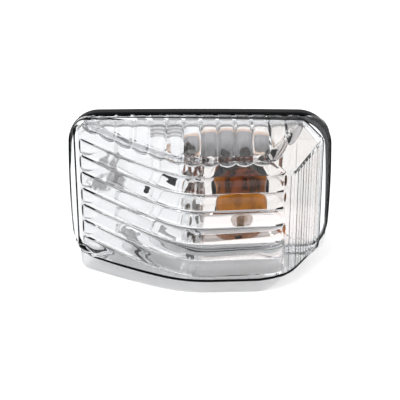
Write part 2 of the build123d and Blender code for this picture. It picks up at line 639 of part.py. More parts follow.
with BuildPart() as vent_cap:
    cap_front = TUB_DEPTH + VENT_CAP_GAP
    cap_inside = TUB_DEPTH + SPIGOT_LENGTH + VENT_FILTER_THICKNESS
    with BuildSketch(station(cap_front)):
        with Locations((VENT_X, VENT_Z)):
            Circle(VENT_CAP_RADIUS)
    extrude(amount=cap_front - cap_inside - VENT_CAP_TOP)
    with BuildSketch(station(cap_front)):
        with Locations((VENT_X, VENT_Z)):
            Circle(SPIGOT_RADIUS + VENT_FIT)
            Rectangle(VENT_SLOT, 2 * VENT_CAP_RADIUS)
    extrude(amount=cap_front - cap_inside, mode=Mode.SUBTRACT)
vent_cap.part.label = "vent_cap"
export_step(vent_cap.part, "parts/vent_cap.step")

with BuildPart() as vent_filter:
    with BuildSketch(station(cap_inside)):
        with Locations((VENT_X, VENT_Z)):
            Circle(SPIGOT_RADIUS)
    extrude(amount=VENT_FILTER_THICKNESS)
vent_filter.part.label = "vent_filter"
export_step(vent_filter.part, "parts/vent_filter.step")


def envelope_profile(wall):
    """Half section of the bulb's glass, thinned by wall: a round globe with a straight cone to the neck."""
    globe, neck = BULB_RADIUS - wall, BULB_NECK_RADIUS - wall
    rise = BASE_TOP - BULB_NECK_LENGTH / 2 - GLOBE_CENTRE
    tangent = atan2(rise, neck) - acos(globe / sqrt(neck**2 + rise**2))
    touch = (BULB_X + globe * cos(tangent), GLOBE_CENTRE + globe * sin(tangent))
    shoulder = (BULB_X + neck, GLOBE_CENTRE + rise)
    foot = BASE_TOP + BULB_NECK_LENGTH
    with BuildSketch(Plane.XY.offset(BULB_Z)) as profile:
        with BuildLine():
            ThreePointArc((BULB_X, GLOBE_CENTRE - globe), (BULB_X + globe, GLOBE_CENTRE), touch)
            Polyline(touch, shoulder, (BULB_X + neck, foot), (BULB_X, foot), (BULB_X, GLOBE_CENTRE - globe))
        make_face()
    return profile.sketch


with BuildPart() as bulb_glass:
    revolve(envelope_profile(0), BULB_AXIS)
    revolve(envelope_profile(GLASS_WALL), BULB_AXIS, mode=Mode.SUBTRACT)
bulb_glass.part.label = "bulb_glass"
export_step(bulb_glass.part, "parts/bulb_glass.step")

with BuildPart() as bulb_base:
    with BuildSketch(station(BASE_TOP)):
        with Locations((BULB_X, BULB_Z)):
            Circle(BASE_RADIUS)
    extrude(amount=-BASE_LENGTH)
    for angle in (0, PIN_ANGLE):
        outward = Vector(1, 0, 0).rotate(Axis.Y, -angle)
        pin_foot = Vector(BULB_X, PIN_STATION, BULB_Z) + outward * (BASE_RADIUS - BASE_WALL)
        with BuildSketch(Plane(pin_foot, z_dir=outward)):
            Circle(PIN_RADIUS)
        extrude(amount=BASE_WALL + PIN_REACH)
    with BuildSketch(station(BASE_TOP)):
        with Locations((BULB_X, BULB_Z)):
            Circle(BASE_RADIUS - BASE_WALL)
    extrude(amount=-BASE_LENGTH, mode=Mode.SUBTRACT)
bulb_base.part.label = "bulb_base"
export_step(bulb_base.part, "parts/bulb_base.step")

with BuildPart() as bulb_insulator:
    with BuildSketch(station(BASE_END + INSULATOR_PROUD)):
        with Locations((BULB_X, BULB_Z)):
            Circle(BASE_RADIUS - BASE_WALL)
    extrude(amount=INSULATOR_THICKNESS)
bulb_insulator.part.label = "bulb_insulator"
export_step(bulb_insulator.part, "parts/bulb_insulator.step")

with BuildPart() as bulb_contact:
    with BuildSketch(station(BASE_END + INSULATOR_PROUD)):
        with Locations((BULB_X, BULB_Z)):
            Circle(SOLDER_RADIUS)
    extrude(amount=-SOLDER_HEIGHT)
    fillet(bulb_contact.edges().group_by(Axis.Y)[-1], SOLDER_HEIGHT / 2)
bulb_contact.part.label = "bulb_contact"
export_step(bulb_contact.part, "parts/bulb_contact.step")

with BuildPart() as bulb_stem:
    stem_foot = BASE_TOP + BULB_NECK_LENGTH
    with BuildSketch(station(stem_foot)):
        with Locations((BULB_X, BULB_Z)):
            Circle(BULB_NECK_RADIUS - GLASS_WALL)
    extrude(amount=STEM_FLARE_THICKNESS)
    with BuildSketch(station(stem_foot)):
        with Locations((BULB_X, BULB_Z)):
            Circle(STEM_RADIUS)
    extrude(amount=STEM_LENGTH)
    fillet(bulb_stem.edges().group_by(Axis.Y)[0], STEM_RADIUS / 2)
    with BuildSketch(station(stem_foot - STEM_LENGTH)):
        with Locations((BULB_X, BULB_Z)):
            with GridLocations(2 * STEM_RADIUS - 4 * LEAD_RADIUS, 1, 2, 1):
                Circle(LEAD_RADIUS)
    extrude(amount=-LEAD_BURIED, mode=Mode.SUBTRACT)
bulb_stem.part.label = "bulb_stem"
export_step(bulb_stem.part, "parts/bulb_stem.step")

with BuildPart() as bulb_leads:
    lead_foot = stem_foot - STEM_LENGTH + LEAD_BURIED
    lead_knee = stem_foot - STEM_LENGTH
    for side in (-1, 1):
        near = BULB_X + side * (STEM_RADIUS - 2 * LEAD_RADIUS)
        far = BULB_X + side * LEAD_SPREAD
        with BuildLine() as route:
            Polyline((near, lead_foot, BULB_Z), (near, lead_knee, BULB_Z), (far, FILAMENT_STATION, BULB_Z))
        with BuildSketch(Plane((near, lead_foot, BULB_Z), z_dir=(0, -1, 0))):
            Circle(LEAD_RADIUS)
        sweep(path=route.wires()[0], transition=Transition.RIGHT)
bulb_leads.part.label = "bulb_leads"
export_step(bulb_leads.part, "parts/bulb_leads.step")

with BuildPart() as bulb_filament:
    coil_end = (BULB_X - LEAD_SPREAD - LEAD_RADIUS, FILAMENT_STATION - FILAMENT_RADIUS, BULB_Z)
    with BuildSketch(Plane(coil_end, z_dir=(1, 0, 0))):
        Circle(FILAMENT_RADIUS)
    extrude(amount=2 * (LEAD_SPREAD + LEAD_RADIUS))
bulb_filament.part.label = "bulb_filament"
export_step(bulb_filament.part, "parts/bulb_filament.step")

with BuildPart() as bulb_holder:
    # Barrel, lugs and flange
    with BuildSketch(station(HOLDER_FLANGE_FRONT)):
        with Locations((BULB_X, BULB_Z)):
            Circle(HOLDER_RADIUS)
    extrude(amount=HOLDER_FLANGE_FRONT - HOLDER_FRONT)
    with BuildSketch(station(TUB_FLOOR - LUG_CLEARANCE)):
        with Locations((BULB_X, BULB_Z)):
            with PolarLocations(0, LUG_COUNT, LUG_ANGLE):
                Rectangle(LUG_RADIUS, LUG_WIDTH, align=(Align.MIN, Align.CENTER))
            Circle(LUG_RADIUS, mode=Mode.INTERSECT)
    extrude(amount=TUB_FLOOR - LUG_CLEARANCE - HOLDER_FRONT)
    with BuildSketch(station(HOLDER_FLANGE_FRONT)):
        with Locations((BULB_X, BULB_Z)):
            Circle(HOLDER_FLANGE_RADIUS)
    extrude(amount=-HOLDER_FLANGE_THICKNESS)
    # Grip behind the flange
    with BuildSketch(station(HOLDER_FLANGE_BACK)):
        with Locations((BULB_X, BULB_Z)):
            Circle(HOLDER_BODY_RADIUS)
    extrude(amount=HOLDER_FLANGE_BACK - HOLDER_BODY_END)
    with BuildSketch(station(HOLDER_FLANGE_BACK)):
        with Locations((BULB_X, BULB_Z)):
            Rectangle(WING_SPAN, WING_THICKNESS)
    extrude(amount=-WING_LENGTH)
    # Connector shroud with its latch
    with BuildSketch(station(HOLDER_BODY_END)):
        with Locations((BULB_X, BULB_Z)):
            RectangleRounded(SHROUD_WIDTH, SHROUD_HEIGHT, SHROUD_RADIUS)
    extrude(amount=-SHROUD_LENGTH)
    with BuildSketch(station(SHROUD_MOUTH - LATCH_LENGTH / 2)):
        with Locations((BULB_X, BULB_Z + SHROUD_HEIGHT / 2)):
            Rectangle(LATCH_WIDTH, LATCH_HEIGHT, align=(Align.CENTER, Align.MIN))
    extrude(amount=LATCH_LENGTH)
    with BuildSketch(station(HOLDER_BODY_END)):
        with Locations((BULB_X, BULB_Z)):
            RectangleRounded(
                SHROUD_WIDTH - 2 * SHROUD_WALL,
                SHROUD_HEIGHT - 2 * SHROUD_WALL,
                SHROUD_RADIUS - SHROUD_WALL,
            )
    extrude(amount=-SHROUD_LENGTH, mode=Mode.SUBTRACT)
    # Well for the bulb: wide where the pins turn, then a seat for the sleeve, then room for the contacts
    with BuildSketch(station(PIN_GROOVE_END)):
        with Locations((BULB_X, BULB_Z)):
            Circle(BASE_RADIUS + PIN_REACH + HOLDER_BORE_CLEARANCE)
    extrude(amount=PIN_GROOVE_END - HOLDER_FRONT, mode=Mode.SUBTRACT)
    with BuildSketch(station(SLEEVE_END + CONTACT_ROOM)):
        with Locations((BULB_X, BULB_Z)):
            Circle(SLEEVE_RADIUS)
    extrude(amount=SLEEVE_END + CONTACT_ROOM - PIN_GROOVE_END, mode=Mode.SUBTRACT)
    # Slots for the two terminal blades
    with BuildSketch(station(SLEEVE_END)):
        with Locations((BULB_X, BULB_Z)):
            with GridLocations(BLADE_SPACING, 1, 2, 1):
                Rectangle(
                    BLADE_THICKNESS + 2 * BLADE_SLOT_CLEARANCE,
                    BLADE_WIDTH + 2 * BLADE_SLOT_CLEARANCE,
                )
    extrude(amount=SLEEVE_END - HOLDER_BODY_END, mode=Mode.SUBTRACT)
bulb_holder.part.label = "bulb_holder"
export_step(bulb_holder.part, "parts/bulb_holder.step")

with BuildPart() as holder_seal:
    with BuildSketch(station(HOLDER_FLANGE_FRONT)):
        with Locations((BULB_X, BULB_Z)):
            Circle(SEAL_RADIUS)
            Circle(HOLDER_RADIUS, mode=Mode.SUBTRACT)
    extrude(amount=SEAL_THICKNESS)
holder_seal.part.label = "holder_seal"
export_step(holder_seal.part, "parts/holder_seal.step")

with BuildPart() as bayonet_sleeve:
    with BuildSketch(station(SLEEVE_END)):
        with Locations((BULB_X, BULB_Z)):
            Circle(SLEEVE_RADIUS)
            Circle(SLEEVE_RADIUS - SLEEVE_WALL, mode=Mode.SUBTRACT)
    extrude(amount=SLEEVE_END - BASE_TOP - SLEEVE_CLEARANCE)
    for angle in (0, PIN_ANGLE):
        outward = Vector(1, 0, 0).rotate(Axis.Y, -angle)
        slot_plane = Plane((BULB_X, PIN_STATION, BULB_Z), x_dir=(0, -1, 0), z_dir=outward)
        with BuildSketch(slot_plane):
            Circle(PIN_RADIUS + SLOT_CLEARANCE)
            Rectangle(
                PIN_SETBACK,
                2 * (PIN_RADIUS + SLOT_CLEARANCE),
                align=(Align.MIN, Align.CENTER),
            )
        extrude(amount=SLEEVE_RADIUS + SLEEVE_WALL, mode=Mode.SUBTRACT)
bayonet_sleeve.part.label = "bayonet_sleeve"
export_step(bayonet_sleeve.part, "parts/bayonet_sleeve.step")

# Bent brass strips: one springs against the bulb's contact, the other meets the sleeve's rim
with BuildPart() as live_terminal:
    with BuildSketch(Plane.XY.offset(BULB_Z - BLADE_WIDTH / 2)):
        with Locations((BULB_X + BLADE_SPACING / 2 + BLADE_THICKNESS / 2, CONTACT_STATION)):
            Rectangle(
                BLADE_SPACING / 2 + BLADE_THICKNESS / 2 + SOLDER_RADIUS,
                BLADE_THICKNESS,
                align=(Align.MAX, Align.MIN),
            )
            Rectangle(
                BLADE_THICKNESS,
                SHROUD_MOUTH - BLADE_SETBACK - CONTACT_STATION,
                align=(Align.MAX, Align.MIN),
            )
    extrude(amount=BLADE_WIDTH)
live_terminal.part.label = "live_terminal"
export_step(live_terminal.part, "parts/live_terminal.step")

with BuildPart() as earth_terminal:
    strip_reach = sqrt(SLEEVE_RADIUS**2 - (BLADE_WIDTH / 2) ** 2)
    with BuildSketch(Plane.XY.offset(BULB_Z - BLADE_WIDTH / 2)):
        with Locations((BULB_X - BLADE_SPACING / 2 + BLADE_THICKNESS / 2, SLEEVE_END)):
            Rectangle(
                strip_reach - BLADE_SPACING / 2 + BLADE_THICKNESS / 2,
                BLADE_THICKNESS,
                align=(Align.MAX, Align.MIN),
            )
            Rectangle(
                BLADE_THICKNESS,
                SHROUD_MOUTH - BLADE_SETBACK - SLEEVE_END,
                align=(Align.MAX, Align.MIN),
            )
    extrude(amount=BLADE_WIDTH)
earth_terminal.part.label = "earth_terminal"
export_step(earth_terminal.part, "parts/earth_terminal.step")
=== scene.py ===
import json
from math import cos, hypot, radians, sin, tau

import bmesh
import bpy
import numpy as np
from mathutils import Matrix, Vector


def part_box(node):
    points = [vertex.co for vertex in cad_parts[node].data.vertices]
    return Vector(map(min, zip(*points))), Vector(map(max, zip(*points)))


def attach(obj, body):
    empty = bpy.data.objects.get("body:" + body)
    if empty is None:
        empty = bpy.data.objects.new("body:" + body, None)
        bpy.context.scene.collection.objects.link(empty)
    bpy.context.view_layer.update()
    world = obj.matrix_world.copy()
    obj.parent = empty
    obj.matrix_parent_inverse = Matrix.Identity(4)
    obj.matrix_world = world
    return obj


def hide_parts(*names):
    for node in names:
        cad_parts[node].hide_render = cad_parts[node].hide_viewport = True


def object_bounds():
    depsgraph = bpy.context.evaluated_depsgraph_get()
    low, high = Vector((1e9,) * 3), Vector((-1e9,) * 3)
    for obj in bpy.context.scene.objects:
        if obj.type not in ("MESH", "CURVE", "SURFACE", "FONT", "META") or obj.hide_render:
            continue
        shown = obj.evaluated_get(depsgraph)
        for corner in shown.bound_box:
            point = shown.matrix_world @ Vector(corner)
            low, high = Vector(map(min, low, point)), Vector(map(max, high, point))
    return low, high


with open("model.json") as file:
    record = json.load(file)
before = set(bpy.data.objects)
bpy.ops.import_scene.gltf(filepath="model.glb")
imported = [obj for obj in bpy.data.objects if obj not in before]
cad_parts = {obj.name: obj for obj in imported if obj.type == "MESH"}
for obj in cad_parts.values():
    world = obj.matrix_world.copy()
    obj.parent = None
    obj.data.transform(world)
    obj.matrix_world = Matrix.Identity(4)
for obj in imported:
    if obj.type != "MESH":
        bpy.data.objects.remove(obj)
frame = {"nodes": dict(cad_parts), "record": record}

bl_info = {
    "name": "Side Repeater Lamp",
    "version": (1, 0, 0),
    "blender": (4, 5, 0),
    "location": "3D View > Sidebar > Lamp",
    "description": "Dresses and lights the side repeater lamp: fluted lens, threads, filament and finishes",
    "category": "Object",
}

MM = 0.001
TINY = 1e-9
MERGE = 2e-6
# Radius that takes up a whole corner, and the most of a corner's leg that an arc may use
GENTLE = 1e3
LEG_SHARE = 0.47
# Where the thin floor and roof reach the wall's thickness: from the lens's ends, and from its side corner
FLOOR_RUN = 12 * MM
ROOF_RUN = (2 * MM, -10 * MM)
# Strip past each end that stands for the outline's upright run, and the stretch with crowded columns
END_STRIP = 0.5 * MM
END_WIDTH = 16 * MM
WALL_LEAD, WALL_TRIM = 4 * MM, 0.6 * MM
FLANGE_ARC, LIP_ARC = 0.3 * MM, 0.7 * MM
SEAT_GAP = 0.02 * MM
# Where the flutes give way to the ribs, from the side corner, and where both fade, from the seat
RIB_TURN = (-3.2 * MM, -1.4 * MM)
SEAT_FADE = (-0.2 * MM, -1.4 * MM)
# Mesh columns along the lens, its rows, and those of the studs and the coil
STRIP_COLUMNS, LEFT_COLUMNS, FRONT_COLUMNS, WALL_COLUMNS, RIGHT_COLUMNS = 9, 37, 112, 116, 25
UNDER_ROWS, LIP_ROWS, FRONT_ROWS, BACK_ROWS, BAND_ROWS, FLOOR_ROWS, ROOF_ROWS = 10, 6, 34, 22, 15, 17, 37
THREAD_ROWS, THREAD_SIDES, COIL_STEPS, COIL_SIDES = 190, 40, 24, 8
COIL_RISE = 0.08
# Bands of the finishes along one axis, from where each starts to where it is full, in millimetres
TUB_Y = (0.0, 0.4)
# Painted amber light on the reflector right of the bulb, brighter painted light below the bulb, and painted
# shade on the lower part of the bulb's painted reflection
AMBER_LIGHT_X, LIGHT_BELOW_Z, DARKER_BELOW_Z = (-1.0, 3.0), (-6.0, -14.0), (23.0, 15.0)
# Crinkled slant of the reflector, where dark cells are also painted as dark reflections
SLANT_LEFT, SLANT_RIGHT, SLANT_TOP = (-9.0, -7.5), (2.5, 1.0), (17.0, 15.0)
# Patch on the reflector's top where shade lines are painted for fine steps
PAD_LEFT, PAD_RIGHT, PAD_LOW = (-24.0, -23.6), (-6.2, -6.6), (24.2, 24.6)
# The bulb's amber is painted darker towards its back and its top, as painted shade
AMBER_BACK, AMBER_TOP, AMBER_FOOT, AMBER_UNDER = (-20.0, -8.0), (0.0, 9.0), (-3.0, -9.0), (0.0, -1.0)
# Ovals painted on the reflector, middle x and z, half width and half height, in millimetres: the bulb's
# painted reflection over the bulb, and grey patches painted as dark reflections at the left
BULB_REFLECTION = (13.5, 20.0, 22.5, 8.0)
DARK_REFLECTIONS = (-43.0, 3.0, 9.5, 4.5), (-41.5, 13.2, 6.0, 3.0)
# Spacing of the painted shade lines that stand for fine steps along the reflector's top, and the width of the
# wave texture's band at a scale of 1
PAD_STEP, WAVE_BAND = 1.8 * MM, 0.314
# Fading edge of the dark spot under the bulb, and how clear the bulb's foot is
SPOT_EDGE = (2.1 * MM, 1.8 * MM)
FOOT_CLEAR = 0.65
# Black edge of the lens's seat and of the rim: width in the middle, gain to the right and gain upwards
SEAT_EDGE = (1.7 * MM, 0.8 * MM, 1.2 * MM)
RIM_EDGE = (1.5 * MM, 0.9 * MM, 1.8 * MM)
RIM_SKIN, SILVER_FADE = (0.1 * MM, 0.05 * MM), 0.1 * MM
DUST, WHITE = (0.42, 0.42, 0.43), (1.0, 1.0, 1.0)
FLOOR_SIZE = 30.0
CAMERA_CLIP = (0.01, 100)
# Name, place, width and power of each soft box, in metres and watts
SOFTBOXES = ("key_softbox", (-0.5, -0.55, 0.8), 0.7, 6.0), ("fill_softbox", (0.7, -0.4, 0.5), 0.6, 2.5)
LAMP_BODY = "lamp_body"
HOLDER_BODY = "twist_holder"
FINISH_END = "_finish"
# Mesh attribute that marks where grey shade is painted on the lens's thick bead
BEAD_SHADE_ATTRIBUTE = "haze_and_painted_shade"

# Places taken from the packed model, in metres
CAD_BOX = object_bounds()
RIM_LOW, RIM_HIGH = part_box("housing")
STUDS_LOW, STUDS_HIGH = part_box("mounting_studs")
COIL_LOW, COIL_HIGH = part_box("bulb_filament")
BULB_LOW, BULB_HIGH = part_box("bulb_glass")
MOUNTS = {mount["name"]: mount for mount in frame["record"]["mounts"]}
STUD_DIMS = MOUNTS["mounting_studs"]["dims"]
STUD_X = STUD_DIMS["spacing_x_mm"] * MM / 2
STUD_RADIUS = STUD_DIMS["stud_r_mm"] * MM
LENS_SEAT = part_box("lens")[1].y - SEAT_GAP
RIM_HALF_WIDTH = RIM_HIGH.x
RIM_HALF_HEIGHT = RIM_HIGH.z


def length(name, millimetres, description):
    """A length property whose default is given in millimetres."""
    return bpy.props.FloatProperty(
        name=name, description=description, default=millimetres * MM, unit="LENGTH", precision=5
    )


def ratio(name, default, description):
    """A plain number property."""
    return bpy.props.FloatProperty(name=name, description=description, default=default, precision=3)


def count(name, default, description):
    """A whole number property."""
    return bpy.props.IntProperty(name=name, description=description, default=default, min=1)


def colour(name, default, description):
    """A colour property."""
    return bpy.props.FloatVectorProperty(
        name=name, description=description, default=default, size=3, subtype="COLOR", min=0.0, max=1.0
    )


class LensSizes(bpy.types.PropertyGroup):
    """Sizes of the clear lens."""

    side_bow: length("Side bow", 1.4, "How far each side of the rim bulges at its middle")
    top_bow: length("Top bow", 0.5, "How far the rim's top and bottom bulge at their middle")
    top_left: length("Top left radius", 14.5, "Corner radius of the rim")
    top_right: length("Top right radius", 16.0, "Corner radius of the rim")
    bottom_left: length("Bottom left radius", 15.0, "Corner radius of the rim")
    bottom_right: length("Bottom right radius", 19.0, "Corner radius of the rim")
    margin: length("Margin", 1.2, "Width of rim that shows round the lens")
    wall: length("Wall", 2.6, "Thickness of the lens between its flutes")
    floor_wall: length("Floor wall", 0.9, "Thickness of the lens's underside")
    roof_wall: length("Roof wall", 1.3, "Thickness of the lens's roof between its fingers")
    floor_draft: ratio("Floor draft", 0.042, "Fall of the underside for each unit of depth")
    collar_depth: length("Collar depth", 2.5, "Thickness of the flange that seats on the rim")
    collar_step: length("Collar step", 0.4, "How far the flange stands out past the lens's walls")
    left_foot: length("Left foot inset", 0.6, "Where the left wall starts, in from the flange")
    left_corner_inset: length("Left corner inset", 2.2, "Place of the turn at the left end")
    left_corner_depth: length("Left corner depth", 9.4, "Depth of the turn at the left end")
    left_corner_radius: length("Left corner radius", 5.0, "Radius of the turn at the left end")
    left_bulge: length("Left wall bulge", 1.6, "How far the long left wall bulges")
    soft_x: length("Soft corner", -7.0, "Place of the soft turn from the left wall to the front")
    soft_depth: length("Soft corner depth", 36.4, "Depth of the soft turn")
    soft_radius: length("Soft corner radius", 52.0, "Radius of the soft turn")
    side_x: length("Side corner", 40.0, "Place of the turn from the front to the right wall")
    side_depth: length("Side corner depth", 34.2, "Depth of the right-hand turn")
    side_radius: length("Side corner radius", 18.0, "Radius of the right-hand turn")
    right_foot: length("Right foot inset", 1.2, "Where the right wall ends, in from the flange")
    roof_slope: ratio("Roof slope", 0.37, "Fall of the roof for each unit of depth")
    facet_lean: ratio("Facet lean", 1.15, "How far the slanting facet leans to the side")
    band: length("Plain band", 9.8, "Smooth band under the roof's edge")
    rise_start: length("Rise start", 27.0, "Where the underside starts to rise")
    rise_slope: ratio("Rise slope", 0.145, "Rise of the underside towards the right-hand end")
    edge_radius: length("Edge radius", 1.6, "Rounding of the roof's front edge")
    lip_height: length("Lip height", 5.9, "Height of the clear lip under the lens")
    lip_thickness: length("Lip thickness", 2.0, "Thickness of the clear lip")
    lip_left: length("Lip left end", -57.0, "Left end of the clear lip")
    lip_left_radius: length("Lip left radius", 4.0, "Rounding of the lip's left end")
    lip_right_radius: length("Lip right radius", 15.0, "Rounding where the lip runs out")


class OpticSizes(bpy.types.PropertyGroup):
    """Sizes of the flutes, fingers and ribs inside the lens."""

    band: length("Plain band", 8.4, "Smooth band inside the lens, over the flutes")
    flute_pitch: length("Flute pitch", 8.2, "Height of one flute of the front wall")
    flute_height: length("Flute height", 0.9, "How far a flute bulges into the lens")
    flute_square: ratio("Flute squareness", 2.8, "Power of a flute's section: 2 is round, more is flatter")
    round_height: length("Round flute height", 1.05, "How far the rounder flutes before the bulb bulge")
    round_start: length("Round flute start", -20.0, "Where the flutes start to turn rounder")
    round_end: length("Round flute end", 5.0, "Where the flutes are fully round")
    flute_rows: count("Rows in a flute", 18, "Mesh rows across one flute")
    flute_left: length("Flute left end", -55.2, "Where the flutes start at the left")
    flute_end: length("Flute end", 1.6, "Length of a flute's rounded left end")
    finger_pitch: length("Finger pitch", 7.65, "Width of one finger under the roof")
    finger_centre: length("Finger centre", -3.3, "Middle of the row of fingers")
    finger_count: count("Fingers", 13, "Number of fingers under the roof")
    finger_height: length("Finger height", 1.05, "How far a finger bulges into the lens")
    finger_square: ratio("Finger squareness", 2.8, "Power of a finger's section")
    tip_square: ratio("Tip squareness", 2.0, "Power of a finger's rounded tip")
    bead: length("Bead", 2.6, "Radius of the scalloped bead in the corner under the roof's front edge")
    scallop: ratio("Scallop", 0.55, "Share of the bead's radius that is lost between two fingers")
    finger_tip: length("Finger tip", 4.0, "Length of a finger's rounded tip")
    finger_fade: length("Finger fade", 1.5, "Length over which a finger grows from the seat")
    rib_pitch: length("Rib pitch", 2.5, "Width of one upright rib of the right wall")
    rib_height: length("Rib height", 0.15, "How far a rib bulges into the lens")
    rib_square: ratio("Rib squareness", 6.0, "Power of a rib's section")
    rib_gap: length("Rib gap", 1.4, "Plain strip between the facet and the ribs")


class ThreadSizes(bpy.types.PropertyGroup):
    """Sizes of the studs and of the filament's coil."""

    pitch: length("Thread pitch", 0.8, "Pitch of the studs' thread")
    depth: length("Thread depth", 0.32, "Depth of the studs' thread")
    head_radius: length("Head radius", 3.8, "Radius of a stud's head")
    head_height: length("Head height", 2.0, "Thickness of a stud's head")
    shoulder_radius: length("Shoulder radius", 3.0, "Radius of a stud where the flange holds it")
    shoulder_end: length("Shoulder end", -2.5, "Where the shoulder stops and the thread starts")
    chamfer: length("Tip chamfer", 0.6, "Chamfer at a stud's tip")
    coil_turns: count("Coil turns", 15, "Turns of the filament")
    coil_wire: length("Coil wire", 0.16, "Thickness of the filament's wire")


class FinishColours(bpy.types.PropertyGroup):
    """Colours of the lamp's finishes."""

    lens: colour("Lens", (0.93, 0.935, 0.945), "Clear moulded plastic")
    # Painted shade: grey painted into the thick bead under the roof's edge, for the darkening that its optics
    # give
    haze_and_painted_shade: colour("Lens haze", (0.34, 0.34, 0.36), "Hazy plastic in the thick bead under the roof's edge")
    black: colour("Black plastic", (0.004, 0.004, 0.0045), "The black rim")
    # The tub behind the rim is a little paler than the near-black front
    tub: colour("Tub", (0.015, 0.015, 0.016), "The drier black of the tub behind the rim")
    rubber: colour("Rubber", (0.016, 0.016, 0.017), "The gasket")
    reflector: colour("Reflector", (0.83, 0.835, 0.84), "Metallised face")
    # Painted amber light on the reflector round the bulb, and brighter, pinker painted light below it
    painted_amber_light: colour("Warm reflector", (0.80, 0.765, 0.735), "Metallised face that the bulb has warmed")
    painted_light_below: colour("Blush", (0.97, 0.915, 0.885), "Clean metallised face under the bulb")
    # The bulb's painted reflection over the bulb: a peach rim and a grey middle; the same painted grey stands
    # for dark reflections at the left and for shade in the steps along the top
    peach: colour("Peach", (0.66, 0.5, 0.41), "Edge of the heat's mark over the bulb")
    painted_grey: colour("Soot", (0.33, 0.325, 0.33), "The heat's mark on the reflector, over the bulb")
    # Amber painted darker by the base and at the top, as painted shade
    amber_base: colour("Amber base", (0.21, 0.038, 0.001), "Amber glass at its dark end by the base")
    amber: colour("Amber", (0.95, 0.36, 0.02), "Amber glass")
    amber_foot: colour("Amber foot", (0.95, 0.58, 0.32), "Thin lacquer at the bulb's foot")
    zinc: colour("Zinc", (0.60, 0.585, 0.54), "Plated steel")
    brass: colour("Brass", (0.78, 0.58, 0.26), "Terminal strips")
    holder: colour("Holder", (0.045, 0.046, 0.05), "Bulb holder")
    floor: colour("Floor", (0.86, 0.86, 0.86), "Studio floor")


class StageSizes(bpy.types.PropertyGroup):
    """The studio's camera and light."""

    aim_height: length("Aim height", -10.05, "Height that the camera looks at")
    distance: length("Distance", 520.0, "Distance from the camera to the lamp")
    elevation: bpy.props.FloatProperty(
        name="Elevation", description="Camera's rise over the horizon", default=radians(24), subtype="ANGLE"
    )
    focal_length: ratio("Focal length", 97.34, "Camera lens in millimetres on a 36 mm sensor")
    floor_gap: length("Floor gap", 0.3, "Floor under the lamp's lowest point")
    floor_glow: ratio("Floor glow", 0.35, "Glow that makes the floor look white")
    floor_mirrored: ratio("Floor mirrored", 0.15, "How bright the floor is in the lens's own reflections")
    floor_through: ratio("Floor through glass", 0.9, "Share of the floor's glow that clear glass shows")
    ambient: ratio("Ambient", 0.75, "World's light on matt surfaces")
    dusk: ratio("Dusk", 0.45, "How dark the room is behind the camera")
    dusk_start: ratio("Dusk start", 0.1, "Where the room starts to darken: -1 behind the lamp, 1 before it")
    dusk_end: ratio("Dusk end", 0.75, "Where the room is darkest")


def points_of(*parts):
    """Points from their coordinates, which may be single numbers or whole arrays."""
    return np.stack(np.broadcast_arrays(*parts), axis=-1).astype(float)


def unit(vectors):
    """Vectors with their length made 1."""
    return vectors / np.maximum(np.linalg.norm(vectors, axis=-1, keepdims=True), TINY)


def corner_arc(before, corner, after, radius, steps):
    """Arc that touches both legs of a corner, for whole arrays of corners at once.

    Its centre lies on the bisector, and its points are the touching points turned into each other about that
    centre. Where a leg is too short for the radius, the arc shrinks to fit it.
    """
    leg_a, leg_b = before - corner, after - corner
    length_a = np.maximum(np.linalg.norm(leg_a, axis=-1, keepdims=True), TINY)
    length_b = np.maximum(np.linalg.norm(leg_b, axis=-1, keepdims=True), TINY)
    leg_a, leg_b = leg_a / length_a, leg_b / length_b
    half = 0.5 * np.arccos(np.clip((leg_a * leg_b).sum(-1, keepdims=True), -0.999999, 0.999999))
    touch = np.minimum(radius / np.tan(half), LEG_SHARE * np.minimum(length_a, length_b))
    centre = corner + unit(leg_a + leg_b) * touch / np.cos(half)
    start, end = corner + leg_a * touch - centre, corner + leg_b * touch - centre
    turn = (np.pi - 2 * half)[..., None, :]
    share = np.linspace(0, 1, steps)[:, None]
    swing = start[..., None, :] * np.sin((1 - share) * turn) + end[..., None, :] * np.sin(share * turn)
    return centre[..., None, :] + swing / np.sin(turn)


def rounded_path(points, radii, steps=24):
    """Path through points, with an arc of the matching radius at each inner corner."""
    points = np.array(points, float)
    arcs = [corner_arc(*points[k : k + 3], radius, steps) for k, radius in enumerate(radii)]
    return np.concatenate([points[:1], *arcs, points[-1:]])


def shifted_path(path, distance):
    """The path moved sideways, to the left of its run, by distance."""
    run = unit(np.gradient(path, axis=0))
    return path + distance * np.stack([-run[:, 1], run[:, 0]], axis=1)


def between(start, end, steps):
    """Points strictly between two rows of points, as an array of (columns, steps, 2)."""
    share = np.linspace(0, 1, steps + 2)[1:-1, None]
    return start[:, None] * (1 - share) + end[:, None] * share


def soft_min(a, b, width):
    """The smaller of two arrays, with the crease between them rounded over width."""
    share = np.clip(0.5 + 0.5 * (b - a) / width, 0, 1)
    return b * (1 - share) + a * share - width * share * (1 - share)


def bulge(across, power, past_end, end_power):
    """Height from 0 to 1 of a pillow with one rounded end: 1 - |across|^power - past_end^end_power.

    across runs from -1 to 1 over the width, and past_end from 0 where the end starts to 1 at the tip.
    """
    return np.clip(1 - np.abs(across) ** power - np.clip(past_end, 0, None) ** end_power, 0, None)


def smooth_step(low, high, value):
    """0 below low, 1 above high, and a smooth S between them."""
    share = np.clip((value - low) / (high - low), 0, 1)
    return share * share * (3 - 2 * share)


def grid_faces(rows, columns, first=0, closed=False):
    """Quads of a grid of points, numbered from first. A closed grid joins its last row to its first."""
    index = first + np.arange(rows * columns).reshape(rows, columns)
    if closed:
        index = np.concatenate([index, index[:1]])
    quads = np.stack([index[:-1, :-1], index[1:, :-1], index[1:, 1:], index[:-1, 1:]], axis=-1)
    return quads.reshape(-1, 4)


